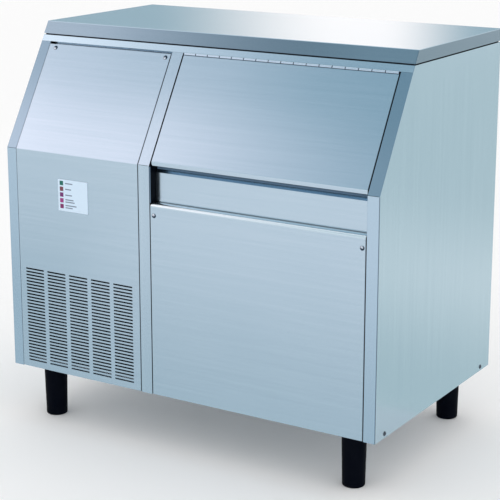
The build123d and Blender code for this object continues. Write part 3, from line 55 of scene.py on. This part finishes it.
# %% [markdown]
# Shader maths is easier to read as arithmetic than as boxes and wires. The class Field wraps one
# output of a node, and the signs + - * between fields and numbers add the Math nodes. The class
# Finish holds one material: its method node() adds any node, with its settings and the values or
# fields of its sockets.


# %% Fields and finishes
class Field:
    """A number that varies over a surface; arithmetic on it adds Math nodes."""

    def __init__(self, finish, socket):
        self.finish = finish
        self.socket = socket

    def math(self, operation, *values):
        made = self.finish.node("Math", {"operation": operation}, dict(enumerate(values)))
        return Field(self.finish, made.outputs[0])

    def __add__(self, other):
        return self.math("ADD", self, other)

    def __sub__(self, other):
        return self.math("SUBTRACT", self, other)

    def __mul__(self, other):
        return self.math("MULTIPLY", self, other)

    def __radd__(self, other):
        return self.math("ADD", other, self)

    def __rsub__(self, other):
        return self.math("SUBTRACT", other, self)

    def __rmul__(self, other):
        return self.math("MULTIPLY", other, self)

    def wave(self, pitch):
        """A smooth ripple from 0 to 1 that repeats every pitch metres."""
        return 0.5 + 0.5 * self.math("SINE", self * (2 * math.pi / pitch))

    def over(self, edge, soft):
        """0 below an edge and 1 above it, with a soft step between."""
        settings = {"interpolation_type": "SMOOTHSTEP"}
        ends = {"Value": self, "From Min": edge - soft, "From Max": edge + soft}
        return Field(self.finish, self.finish.node("MapRange", settings, ends).outputs["Result"])

    def inside(self, low, high, soft):
        """1 between two edges."""
        return self.over(low, soft) * (1 - self.over(high, soft))


class Finish:
    """One material of the machine."""

    def __init__(self, name, colour, metallic, roughness, **constants):
        self.material = bpy.data.materials.new(name)
        self.material.use_nodes = True
        self.tree = self.material.node_tree
        self.shader = self.tree.nodes["Principled BSDF"]
        self.shader.inputs["Metallic"].default_value = metallic
        self.shader.inputs["Roughness"].default_value = roughness
        self.shader.inputs["Base Color"].default_value = (*colour, 1)
        for socket, value in constants.items():
            self.shader.inputs[socket.replace("_", " ")].default_value = value

    def node(self, kind, settings, inputs):
        made = self.tree.nodes.new("ShaderNode" + kind)
        for name, value in settings.items():
            setattr(made, name, value)
        for name, value in inputs.items():
            self.feed(made.inputs[name], value)
        return made

    def feed(self, socket, value):
        if isinstance(value, Field):
            self.tree.links.new(value.socket, socket)
        else:
            socket.default_value = value

    def shade(self, socket, value):
        self.feed(self.shader.inputs[socket], value)

    def place(self):
        """The surface point, in metres, as three fields."""
        coordinates = self.node("TexCoord", {}, {})
        split = self.node("SeparateXYZ", {}, {})
        self.tree.links.new(coordinates.outputs["Object"], split.inputs[0])
        return [Field(self, output) for output in split.outputs]

    def facing(self):
        """The direction the surface faces, as three fields: right, back and up."""
        geometry = self.node("NewGeometry", {}, {})
        split = self.node("SeparateXYZ", {}, {"Vector": Field(self, geometry.outputs["Normal"])})
        return [Field(self, output) for output in split.outputs]

    def noise(self, scale, detail=2.0, roughness=0.5, offset=0.0):
        """Cloudy variation from 0 to 1; scale is in patches per metre along x, y and z."""
        coordinates = self.node("TexCoord", {}, {})
        mapping = self.node("Mapping", {}, {"Scale": scale, "Location": (offset, offset, offset)})
        self.tree.links.new(coordinates.outputs["Object"], mapping.inputs["Vector"])
        cloud = self.node("TexNoise", {}, {"Scale": 1.0, "Detail": detail, "Roughness": roughness})
        self.tree.links.new(mapping.outputs["Vector"], cloud.inputs["Vector"])
        return Field(self, cloud.outputs[0])

    def cells(self, scale, feature="F1"):
        """Random cells: the distance to the nearest cell's middle or border, and a tone per cell."""
        coordinates = self.node("TexCoord", {}, {})
        mapping = self.node("Mapping", {}, {"Scale": scale})
        self.tree.links.new(coordinates.outputs["Object"], mapping.inputs["Vector"])
        made = self.node("TexVoronoi", {"feature": feature}, {"Scale": 1.0})
        self.tree.links.new(mapping.outputs["Vector"], made.inputs["Vector"])
        if feature == "DISTANCE_TO_EDGE":
            return Field(self, made.outputs["Distance"])
        tone = self.node("SeparateColor", {}, {"Color": Field(self, made.outputs["Color"])})
        return Field(self, made.outputs["Distance"]), Field(self, tone.outputs[0])

    def blend(self, amount, low, high):
        """Colour between two colours, each three numbers or a field."""
        low = low if isinstance(low, Field) else (*low, 1)
        high = high if isinstance(high, Field) else (*high, 1)
        made = self.node("Mix", {"data_type": "RGBA"}, {0: amount, 6: low, 7: high})
        return Field(self, made.outputs[2])

    def paint_gap_shade(self, colour, dark, reach):
        """Painted shade: colour that goes dark in the gaps and corners within reach metres of another surface.
        """
        made = self.node("AmbientOcclusion", {"samples": 8}, {"Distance": reach})
        return self.blend(Field(self, made.outputs["AO"]).over(0.62, 0.26), dark, colour)

    def relief(self, height, depth):
        """Small hills and dents, depth metres high."""
        made = self.node("Bump", {}, {"Height": height, "Distance": depth})
        self.shade("Normal", Field(self, made.outputs["Normal"]))

    def give(self, *names):
        """Put the finish on CAD nodes."""
        for name in names:
            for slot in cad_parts[name].material_slots:
                slot.material = self.material


print("ready to mix finishes")

# %% [markdown]
# Steel has hardly a colour of its own: it shows the room. So the studio is set up before the
# metals. The world is an even white, and the floor is a wide pale sheet, so that colours render
# about as they are written. A photographer also stands grey and white boards round a steel
# cabinet, out of the picture, because their reflections are what shapes it. Two such boards are
# built here. They glow for reflected rays only, so they light no plastic and cast no shadow.


# %% World and floor
def clear_selection():
    bpy.ops.object.select_all(action="DESELECT")


world = bpy.data.worlds.new("studio")
bpy.context.scene.world = world
world.use_nodes = True
world.node_tree.nodes["Background"].inputs["Color"].default_value = (1, 1, 1, 1)
world.node_tree.nodes["Background"].inputs["Strength"].default_value = 1.0

floor_white = (0.97, 0.97, 0.97)
clear_selection()
bpy.ops.mesh.primitive_plane_add(size=40)
floor = bpy.context.object
floor.name = "studio_floor"
floor_finish = Finish("floor_white", floor_white, 0.0, 0.9)
floor.data.materials.append(floor_finish.material)
print("floor", tuple(floor.dimensions))

# %% [markdown]
# One board stands in front of the machine, above the camera's view, where the sloping door looks.
# It is brightest low on its left and falls to a cool grey on the right, which gives the slope its
# long diagonal shade. One stands behind: the flat top sees it at a glancing angle, and its one
# bright patch is the glow across the top. Two lie on the floor, in front and on the right, and
# dim the lower part of the upright sheets, as the floor under a real cabinet does.


# %% Boards for the reflections
def board(name, low, high, level, lying=False):
    """Board across the studio, seen by glossy rays only; upright at y = level, or lying at z = level."""
    clear_selection()
    along, up = (low[0] + high[0]) / 2, (low[1] + high[1]) / 2
    middle = (along, up, level) if lying else (along, level, up)
    turn = 0 if lying else math.pi / 2
    bpy.ops.mesh.primitive_plane_add(size=1, location=middle, rotation=(turn, 0, 0))
    made = bpy.context.object
    made.name = name
    made.scale = (high[0] - low[0], high[1] - low[1], 1)
    bpy.ops.object.transform_apply(location=True, rotation=True, scale=True)
    made.visible_camera = False
    made.visible_diffuse = False
    made.visible_transmission = False
    made.visible_shadow = False
    finish = Finish(name + "_glow", (0, 0, 0), 0.0, 1.0, Emission_Strength=1.0, Specular_IOR_Level=0.0)
    made.data.materials.append(finish.material)
    return finish


slope_board = board("slope_board", (-4.5, 0.95), (3.5, 4.2), -1.2)
across, _, up = slope_board.place()
fade_right = 1 - 0.47 * across.over(-1.02, 1.04)
fade_up = 1 - 0.24 * up.over(1.90, 0.15)
fade_left = 1 - 0.12 * (1 - across.over(-1.20, 0.15))
shade = 2 * (1 - fade_right * fade_up * fade_left)
slope_board.shade("Emission Color", slope_board.blend(shade, (2.20, 1.80, 1.80), (0.42, 0.56, 0.63)))

top_board = board("top_board", (-6.0, 0.3), (0.7, 3.0), 2.5)
across, _, _ = top_board.place()
patch = across.over(-1.60, 0.48) * (1 - across.over(-0.73, 0.22))
top_board.shade("Emission Color", top_board.blend(patch, (0.42, 0.55, 0.61), (1.38, 1.26, 1.20)))

near_board = board("near_board", (-3.2, -3.0), (1.6, -0.32), 0.004, lying=True)
across, ahead, _ = near_board.place()
distance = (0 - ahead).over(1.25, 0.85)
left_shade = 1 - (across + 0.5 * (0 - ahead)).over(-0.4, 0.15)
near_board.shade(
    "Emission Color",
    near_board.blend(distance - 0.4 * left_shade, (0.66, 0.72, 0.75), (0.98, 0.96, 0.98)),
)

right_board = board("right_board", (0.55, 0.2), (5.0, 7.0), 0.004, lying=True)
_, behind, _ = right_board.place()
light_band = behind.over(0.85, 0.5) * (1 - 0.75 * behind.over(1.85, 0.6))
right_board.shade("Emission Color", right_board.blend(light_band, (0.72, 0.80, 0.80), (1.01, 1.01, 0.99)))
print("boards: slope, top, near, right")

# %% [markdown]
# The cabinet is brushed stainless steel. Long fine scratches run one way on each sheet, across
# the front and up the sides, so a reflection is smeared across them. A metallic shader with a
# middling roughness gives the soft sheen, and noise stretched a hundredfold along the grain gives
# the scratches in colour, roughness and relief. The whole sheet also clouds a little where it was
# handled, which a large, faint noise adds. Shade is painted into the gaps between the sheets, and
# the functions after it paint light and shade on their edges and bends.

# %% Brushed steel
steel_light = (0.520, 0.650, 0.752)
steel_dark = (0.472, 0.606, 0.708)
grain_pitch = 1500.0
grain_run = 9.0
streak_pitch = 150.0
streak_run = 2.2
# Reach and colour of the painted shade in the gaps between sheets.
gap_reach = 0.006
painted_gap_shade = (0.012, 0.020, 0.032)


def brushed_steel(name, grain, light=steel_light, dark=steel_dark, roughness=0.2, painted_light=None):
    """Stainless sheet whose scratches run along one axis, 0 for x, 1 for y and 2 for z, with painted shade in
    its gaps and the painted light and shade of the given function.
    """
    finish = Finish(name, light, 1.0, roughness)
    fine = [grain_pitch] * 3
    broad = [streak_pitch] * 3
    fine[grain] = grain_run
    broad[grain] = streak_run
    scratches = finish.noise(fine, 2.0, 0.6)
    streaks = finish.noise(broad, 3.0, 0.6)
    clouds = finish.noise((3.0, 3.0, 3.0), 2.0, 0.5)
    tone = 0.25 * scratches + 0.45 * streaks + 0.30 * clouds
    sheet = finish.blend(tone.over(0.5, 0.22), dark, light)
    if painted_light:
        sheet = painted_light(finish, sheet)
    # Painted shade darkens the sheet in its gaps and corners.
    finish.shade("Base Color", finish.paint_gap_shade(sheet, painted_gap_shade, gap_reach))
    finish.shade("Roughness", roughness - 0.07 + 0.10 * scratches + 0.04 * clouds)
    finish.relief(scratches, 0.000012)
    return finish


def worktop_painted_shade(finish, sheet):
    """Painted shade, a darker reflection, on the folded edge of the worktop, most of it near the door's middle
    and on the right-hand end.
    """
    x, _, z = finish.place()
    band = 1 - z.over(worktop_high.z - 0.0012, 0.0006)
    lip_shade = 0.28 + 0.36 * x.over(-0.12, 0.28) * (1 - 0.5 * x.over(0.30, 0.12))
    lip_shade = lip_shade + 0.20 * x.over(worktop_high.x - 0.0015, 0.001)
    return finish.blend(band * lip_shade, sheet, (0.08, 0.14, 0.19))


def rail_painted_reflection(finish, sheet):
    """Painted reflection: the rail under the worktop, which leans a little outward, is painted bright on the
    left, where the bright board would show, and plain steel on the right.
    """
    x, _, _ = finish.place()
    return finish.blend(x.over(-0.10, 0.42), (0.700, 0.860, 0.960), sheet)


def edge_painted_shade(finish, sheet):
    """Painted shade on the right-hand edges of a panel and on its faces that look right, which stand in the
    shadow of a gap.
    """
    right, _, _ = finish.facing()
    x, _, _ = finish.place()
    rim = x.inside(service_high.x - edge_width, service_high.x + 0.001, 0.0004)
    rim = rim + x.inside(lower_panel_high.x - edge_width, lower_panel_high.x + 0.001, 0.0004)
    sheet = finish.blend(0.85 * rim, sheet, painted_gap_shade)
    return finish.blend(0.9 * right.over(0.9, 0.05), sheet, painted_gap_shade)


def door_edge_painted_shade(finish, sheet):
    """A dark line of painted shade where the door's right-hand edge turns into its gap."""
    x, _, _ = finish.place()
    rim = x.inside(door_high.x - edge_width, door_high.x + 0.001, 0.0004)
    return finish.blend(0.85 * rim, sheet, painted_gap_shade)


def panel_painted_light(finish, sheet):
    """Painted shade on the right-hand edges, and a painted highlight along the bend at the top of the lower
    panel.
    """
    _, _, up = finish.facing()
    x, _, z = finish.place()
    bend = up.over(0.30, 0.15) * (1 - z.over(lower_panel_high.z + 0.002, 0.001))
    bend = bend * x.over(service_high.x + 0.01, 0.001)
    sheet = finish.blend(0.9 * bend, sheet, (0.86, 0.95, 0.99))
    return edge_painted_shade(finish, sheet)


def side_painted_shade(finish, sheet):
    """Painted light and shade on a side sheet: lighter and bluer where it faces front, painted shade on the
    slope, and dark along the bend and the gap edge.
    """
    right, back, up = finish.facing()
    x, _, _ = finish.place()
    edge = right.over(0.9, 0.05) * (1 - x.over(0.0, 0.1))
    edge = edge + x.inside(service_low.x - 0.0032, service_low.x, 0.0004)
    sheet = finish.blend(0.9 * edge, sheet, painted_gap_shade)
    front = 0 - back
    bend = (front * right).over(0.26, 0.12) * (1 - up.over(0.15, 0.1))
    sheet = finish.blend(front.over(0.6, 0.3), sheet, (0.455, 0.600, 0.720))
    sheet = finish.blend(0.45 * up.over(0.25, 0.1), sheet, (0.122, 0.218, 0.287))
    return finish.blend(0.8 * bend, sheet, (0.08, 0.13, 0.18))


edge_width = 0.0014
_, worktop_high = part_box("worktop")
service_low, service_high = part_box("left_service_panel")
_, lower_panel_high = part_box("lower_front_panel")
_, door_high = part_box("bin_door_skin")
# The side sheets get a darker, greener copy of the steel colour: painted shade on the sides.
shaded_side_light = (0.462, 0.600, 0.688)
shaded_side_dark = (0.418, 0.556, 0.644)
front_steel = brushed_steel("front_steel", 0)
door_steel = brushed_steel("door_steel", 0, painted_light=door_edge_painted_shade)
panel_steel = brushed_steel("panel_steel", 0, painted_light=panel_painted_light)
rail_steel = brushed_steel("rail_steel", 0, painted_light=rail_painted_reflection)
post_steel = brushed_steel("post_steel", 2, painted_light=edge_painted_shade)
shaded_side_steel = brushed_steel("shaded_side_steel", 2, shaded_side_light, shaded_side_dark, painted_light=side_painted_shade)
top_steel = brushed_steel("top_steel", 0, painted_light=worktop_painted_shade)
front_steel.give("bin_front_skin")
door_steel.give("bin_door_skin")
panel_steel.give("left_service_panel", "lower_front_panel")
rail_steel.give("header_rail")
post_steel.give("middle_front_post")
shaded_side_steel.give("left_side_panel", "right_side_panel")
top_steel.give("worktop")
print("brushed steel on", 9, "sheets")

# %% [markdown]
# The hinge and the screws are polished, not brushed. They are small and bright, with a low
# roughness and a little tarnish in the corners of the pattern. The same recipe, with another
# colour, makes the brass fittings and the copper pipes: copper browns in patches where hands
# and brazing heat have been, so its two colours lie further apart.


# %% Bright and tarnished metals
def plain_metal(name, light, dark, roughness, pitch=220.0, marks=0.15):
    """Plain or plated metal with cloudy tarnish, pitch clouds to the metre."""
    finish = Finish(name, light, 1.0, roughness)
    tarnish = finish.noise((pitch, pitch, pitch), 4.0, 0.6)
    finish.shade("Base Color", finish.blend(tarnish.over(0.52, 0.2), light, dark))
    finish.shade("Roughness", roughness + marks * tarnish)
    finish.relief(finish.noise((pitch * 9, pitch * 9, pitch * 9), 2.0, 0.5, 3.0), 0.00001)
    return finish


hinge_metal = plain_metal("hinge_metal", (0.56, 0.66, 0.78), (0.50, 0.60, 0.72), 0.14)
screw_metal = plain_metal("screw_metal", (0.60, 0.64, 0.70), (0.40, 0.44, 0.50), 0.18)
dark_screw_metal = plain_metal("dark_screw_metal", (0.10, 0.12, 0.15), (0.05, 0.06, 0.08), 0.32)
brass = plain_metal("brass", (0.76, 0.56, 0.24), (0.55, 0.36, 0.13), 0.26, 90.0)
copper = plain_metal("copper", (0.83, 0.45, 0.29), (0.42, 0.20, 0.12), 0.24, 60.0, 0.25)
turned_steel = plain_metal("turned_steel", (0.60, 0.63, 0.66), (0.46, 0.49, 0.52), 0.30, 70.0)

hinge_low, hinge_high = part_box("hinge_frame_leaf")
knuckle_pitch = (hinge_high.x - hinge_low.x) / 17
hinge_x, _, _ = hinge_metal.place()
# The cuts between the knuckles are real joints, drawn dark as painted shade in their gaps.
seam = (hinge_x - (hinge_low.x - knuckle_pitch / 4)).wave(knuckle_pitch).over(0.989, 0.010)
_, _, hinge_up = hinge_metal.facing()
# Painted shade on the faces of the hinge that look down.
under = 1 - hinge_up.over(-0.35, 0.25)
leaf = hinge_metal.blend(seam, (0.56, 0.68, 0.80), (0.07, 0.10, 0.15))
leaf = hinge_metal.blend(0.85 * under, leaf, (0.03, 0.05, 0.08))
hinge_metal.shade("Base Color", leaf)
print("knuckles every", round(knuckle_pitch * 1000, 2), "mm")

_, back, up = screw_metal.facing()
# Painted light and shade on the screw heads: bright where the crown faces front and up, near black round the
# rim.
painted_crown_light = (0.27 * up - 0.96 * back).over(0.90, 0.05)
screw_metal.shade("Base Color", screw_metal.blend(painted_crown_light, (0.03, 0.05, 0.08), (0.62, 0.68, 0.76)))
hinge_metal.give("hinge_frame_leaf", "hinge_door_leaf", "hinge_pin")
screw_metal.give("front_panel_screws")
dark_screw_metal.give("casing_screws")
brass.give("ice_breaker_head", "water_inlet")
copper.give("filter_drier", "suction_line", "discharge_line", "liquid_line")
turned_steel.give("leg_mounting_plates", "freezing_barrel", "auger")
print("bright metals:", 6)

# %% [markdown]
# The four legs are black plastic tubes with a rounded foot. Black plastic is never quite black,
# because its skin mirrors the white room. The moulds for such feet are spark-eroded, which leaves
# a fine grain that breaks the mirror up, so the gloss is kept low and the grain goes in the
# relief. A little pale dust lies in the grain.


# %% Black plastic
def moulded_plastic(name, light, dark, roughness, pitch, depth, gloss):
    """Plastic with the fine grain of its mould, pitch grains to the metre."""
    finish = Finish(name, light, 0.0, roughness, Specular_IOR_Level=gloss)
    grain = finish.noise((pitch, pitch, pitch), 2.0, 0.5)
    wear = finish.noise((28.0, 28.0, 28.0), 3.0, 0.6, 5.0)
    finish.shade("Base Color", finish.blend(wear.over(0.55, 0.2) * 0.7 + 0.3 * grain, light, dark))
    finish.shade("Roughness", roughness + 0.12 * wear)
    finish.relief(grain, depth)
    return finish


sill_top = 0.640
foot_black = moulded_plastic("foot_black", (0.0012, 0.0022, 0.0058), (0.0030, 0.0042, 0.0080), 0.42, 900.0, 0.00004, 0.02)
foot_black.give("leg_front_left", "leg_front_right", "leg_rear_left", "leg_rear_right", "cable_gland")
frame_black = moulded_plastic("frame_black", (0.0012, 0.0022, 0.0058), (0.0030, 0.0042, 0.0080), 0.42, 900.0, 0.00004, 0.05)
# Painted reflection: the front faces of the frame below sill_top are a dull steel blue.
_, _, frame_z = frame_black.place()
_, back, _ = frame_black.facing()
painted_sill_reflection = (1 - frame_z.over(sill_top, 0.0006)) * (0 - back).over(0.7, 0.05)
frame_black.shade("Base Color", frame_black.blend(painted_sill_reflection, (0.0020, 0.0032, 0.0068), (0.16, 0.25, 0.36)))
frame_black.give("bin_opening_frame")
print("black plastic on", 6, "pieces")

# %% [markdown]
# Inside the door everything that meets the ice is white plastic, vacuum-formed or moulded. Its
# skin is smooth with a faint orange peel, and scoops leave fine scratches. The same recipe as
# for the legs serves, with a broad soft relief in place of the fine grain.

# %% White plastic
liner_white = moulded_plastic("liner_white", (0.80, 0.82, 0.83), (0.74, 0.77, 0.78), 0.32, 160.0, 0.00008, 0.45)
milky_white = moulded_plastic("milky_white", (0.78, 0.80, 0.79), (0.70, 0.73, 0.72), 0.24, 60.0, 0.00005, 0.5)
liner_white.give("bin_liner", "bin_door_liner", "ice_spout")
milky_white.give("bin_drain_tube", "float_tank", "float_tank_lid", "water_float", "drain_outlet")
print("white plastic on", 8, "pieces")

# %% [markdown]
# The door closes on a rubber gasket, and the worktop lies on a thin strip of the same. Both are near
# black with a blue tint, partly dark rubber and partly painted shade for the gaps they fill. Rubber is
# matt, with hardly any highlight, and a gasket is extruded, so faint lines run along it. The hose and
# the feet under the compressor are a softer rubber with no lines.

# %% Rubber
line_pitch = 0.0016


def rubber(name, light, dark, lined):
    """Matt rubber; an extruded strip also has fine lines along it."""
    finish = Finish(name, light, 0.0, 0.62, Specular_IOR_Level=0.15)
    bloom = finish.noise((45.0, 45.0, 45.0), 4.0, 0.6)
    finish.shade("Base Color", finish.blend(bloom.over(0.5, 0.2), light, dark))
    finish.shade("Roughness", 0.55 + 0.15 * bloom)
    _, y, z = finish.place()
    lines = (y + z).wave(line_pitch) if lined else finish.noise((700.0, 700.0, 700.0), 2.0, 0.5)
    finish.relief(lines, 0.00006)
    return finish


# Painted shade: the gasket's near-black blue stands in part for the shadow in its gaps.
dark_gasket_shade = rubber("dark_gasket_shade", (0.009, 0.016, 0.027), (0.006, 0.011, 0.020), True)
hose_grey = rubber("hose_grey", (0.17, 0.18, 0.19), (0.12, 0.13, 0.14), False)
dark_gasket_shade.give("door_gasket", "worktop_seal")
hose_grey.give("compressor_grommets", "water_feed_hose")
print("rubber on", 4, "pieces")

# %% [markdown]
# Foam fills the hollow walls and wraps the freezing barrel. It is a mass of small closed cells,
# and a cell texture gives them: each cell is a shallow cup between thin rims, so the distance to
# a cell's border goes straight into the relief, and each cell gets a slightly different tone.


# %% Foam
def foam(name, light, dark, pitch, depth):
    """Cut or skinned foam, pitch cells to the metre."""
    finish = Finish(name, light, 0.0, 0.88, Specular_IOR_Level=0.2)
    _, tone = finish.cells((pitch, pitch, pitch))
    rim = finish.cells((pitch, pitch, pitch), "DISTANCE_TO_EDGE")
    patches = finish.noise((12.0, 12.0, 12.0), 3.0, 0.6)
    finish.shade("Base Color", finish.blend(0.5 * tone + 0.5 * patches.over(0.5, 0.2), light, dark))
    finish.shade("Roughness", 0.80 + 0.12 * patches)
    finish.relief(rim, depth)
    return finish


wall_foam = foam("wall_foam", (0.80, 0.68, 0.42), (0.70, 0.56, 0.31), 420.0, 0.0006)
pipe_foam = foam("pipe_foam", (0.022, 0.023, 0.025), (0.012, 0.013, 0.014), 520.0, 0.0005)
wall_foam.give("bin_insulation", "bin_door_foam")
pipe_foam.give("barrel_insulation")
print("foam on", 3, "pieces")

# %% [markdown]
# The back, the base and the inner plates are galvanised sheet. Zinc freezes on the steel in large
# flat crystals, each of which mirrors the light a little differently. Cells again give the
# crystals: the tone of each cell goes into its colour and its roughness, with no relief, because
# the real sheet is smooth. A few white patches are where the zinc has dulled.

# %% Galvanised sheet
zinc_bright = (0.61, 0.66, 0.70)
zinc_dull = (0.50, 0.55, 0.59)
crystal_pitch = 95.0
zinc = Finish("zinc", zinc_bright, 1.0, 0.35)
_, crystal = zinc.cells((crystal_pitch, crystal_pitch, crystal_pitch))
frost = zinc.noise((260.0, 260.0, 260.0), 3.0, 0.6)
bloom = zinc.noise((6.0, 6.0, 6.0), 3.0, 0.6)
zinc.shade("Base Color", zinc.blend(0.6 * crystal + 0.4 * frost, zinc_bright, zinc_dull))
zinc.shade("Roughness", 0.26 + 0.16 * crystal + 0.12 * bloom)
zinc.relief(frost, 0.00001)
zinc.give("back_panel", "bin_partition", "base_pan", "fan_shroud", "control_box", "control_box_cover")
print("galvanised sheet on", 6, "pieces")

# %% [markdown]
# The compressor and the motors are dipped in black enamel. It is a thick, glossy skin with an
# orange peel, and dust settles on what faces up. The shader can ask which way a surface faces,
# because the Geometry node gives its normal in the room's frame, and the upward part of that
# normal is the mask of the dust.


# %% Black enamel and cast metal
def dusty(finish, light, dust, roughness):
    """Lay pale dust on the faces that look up."""
    _, _, upward = finish.facing()
    specks = finish.noise((300.0, 300.0, 300.0), 4.0, 0.7)
    settled = upward.over(0.55, 0.4) * specks.over(0.45, 0.25)
    finish.shade("Base Color", finish.blend(settled * 0.6, light, dust))
    finish.shade("Roughness", roughness + 0.35 * settled)


enamel = Finish("enamel", (0.012, 0.013, 0.014), 0.0, 0.24)
dusty(enamel, (0.012, 0.013, 0.014), (0.16, 0.15, 0.14), 0.24)
enamel.relief(enamel.noise((240.0, 240.0, 240.0), 2.0, 0.5), 0.00012)
enamel.give("compressor", "fan_motor", "drive_motor")
casting = Finish("casting", (0.36, 0.38, 0.40), 0.8, 0.48)
dusty(casting, (0.36, 0.38, 0.40), (0.28, 0.27, 0.25), 0.48)
casting.relief(casting.noise((900.0, 900.0, 900.0), 3.0, 0.6), 0.00016)
casting.give("gearbox")
print("enamel on 3 pieces, cast metal on 1")

# %% [markdown]
# The condenser behind the slots is a block of thin aluminium fins. The CAD gives every few fins
# a ridge, and the hundreds between are too fine for a mesh, so a ripple along x draws them in
# relief and paints shade between them in tone. The fan blade is the same soft metal, so it shares
# the finish.

# %% Fins
fin_step = 0.0022
fins = Finish("fins", (0.66, 0.69, 0.72), 1.0, 0.34)
fin_x, _, _ = fins.place()
ripple = fin_x.wave(fin_step)
lint = fins.noise((40.0, 220.0, 60.0), 4.0, 0.65)
# The ripple paints shade between the fins, and the lint darkens them in patches.
fins.shade("Base Color", fins.blend(0.55 * ripple + 0.45 * lint.over(0.55, 0.2), (0.30, 0.33, 0.36), (0.08, 0.09, 0.10)))
fins.shade("Roughness", 0.28 + 0.25 * lint)
fins.relief(ripple, 0.0003)
fins.give("condenser_coil", "fan_blade")
print("fins every", fin_step * 1000, "mm")

# %% [markdown]
# The status label is a printed plastic film with five small windows. Its legends are left off,
# and plain grey bars stand where their lines are, one beside each of the first three lights and
# two beside each of the last two. Each bar is a rectangle: the product of a mask along x and a
# mask along z, where a mask is 1 between two edges.

# %% Status label
film_low, film_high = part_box("status_label")
lens_low, lens_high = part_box("status_light_lenses")
light_count = 5
lens_side = lens_high.x - lens_low.x
light_step = (lens_high.z - lens_low.z - lens_side) / (light_count - 1)
light_height = [lens_high.z - lens_side / 2 - light_step * i for i in range(light_count)]
bar_start = lens_high.x + 0.0052
bar_lengths = ([0.021], [0.017], [0.019], [0.023, 0.026], [0.031, 0.020])
bar_half = 0.00125
line_gap = 0.0052
film = Finish("film", (0.655, 0.805, 0.955), 0.0, 0.38, Specular_IOR_Level=0.35)
film_x, _, film_z = film.place()
print_mask = 0.0
for height, lengths in zip(light_height, bar_lengths):
    for number, length in enumerate(lengths):
        z = height + line_gap * ((len(lengths) - 1) / 2 - number)
        bar = film_x.inside(bar_start, bar_start + length, 0.0003)
        print_mask = print_mask + bar * film_z.inside(z - bar_half, z + bar_half, 0.0003)
letters = film.noise((700.0, 40.0, 500.0), 2.0, 0.5)
mottle = film.noise((90.0, 90.0, 90.0), 3.0, 0.5)
paper = film.blend(mottle, (0.665, 0.815, 0.960), (0.635, 0.785, 0.940))
film.shade("Base Color", film.blend(print_mask * (0.72 + 0.28 * letters), paper, (0.10, 0.13, 0.20)))
film.shade("Roughness", 0.34 + 0.08 * mottle)
film.relief(mottle, 0.00002)
film.give("status_label")
print("bars:", sum(len(lengths) for lengths in bar_lengths))

# %% [markdown]
# The five lenses are one node, so one material colours them all. It asks for the height of the
# surface point and steps from one colour to the next half way between two lenses. They are
# unlit tinted plastic.

# %% Lenses
lens_colours = (
    (0.008, 0.150, 0.120),
    (0.200, 0.062, 0.085),
    (0.175, 0.030, 0.165),
    (0.340, 0.040, 0.215),
    (0.215, 0.022, 0.130),
)
lens = Finish("lens", lens_colours[0], 0.0, 0.22, Specular_IOR_Level=0.2)
_, _, lens_z = lens.place()
tint = lens.blend(0.0, lens_colours[-1], lens_colours[-1])
for number in range(light_count - 2, -1, -1):
    border = (light_height[number] + light_height[number + 1]) / 2
    tint = lens.blend(lens_z.over(border, 0.0004), tint, lens_colours[number])
flecks = lens.noise((900.0, 900.0, 900.0), 2.0, 0.5)
lens.shade("Base Color", lens.blend(flecks * 0.08, tint, (0.30, 0.32, 0.36)))
lens.shade("Roughness", 0.18 + 0.12 * flecks)
lens.give("status_light_lenses")
print("lenses:", light_count)

# %% [markdown]
# The circuit boards are green, with a maze of fine copper lines under the lacquer and dark parts
# on top. A brick pattern turned on its side makes neat blocks of different sizes, which is how
# parts are laid out on a board, and the ripple of two directions gives the lines.

# %% Circuit boards
board_green = Finish("board_green", (0.01, 0.10, 0.045), 0.0, 0.3)
board_place_x, board_place_y, board_place_z = board_green.place()
lines = (board_place_x + board_place_y).wave(0.0031).over(0.78, 0.08)
steps = board_place_z.wave(0.0047).over(0.80, 0.08)
_, part_tone = board_green.cells((160.0, 160.0, 160.0))
parts = part_tone.over(0.72, 0.02)
lacquer = board_green.blend(lines + steps * (1 - lines), (0.008, 0.085, 0.038), (0.03, 0.20, 0.09))
board_green.shade("Base Color", board_green.blend(parts, lacquer, (0.012, 0.012, 0.014)))
board_green.shade("Roughness", 0.22 + 0.3 * parts)
board_green.relief(parts + 0.2 * lines, 0.0006)
board_green.give("indicator_board", "control_board")
print("circuit boards:", 2)
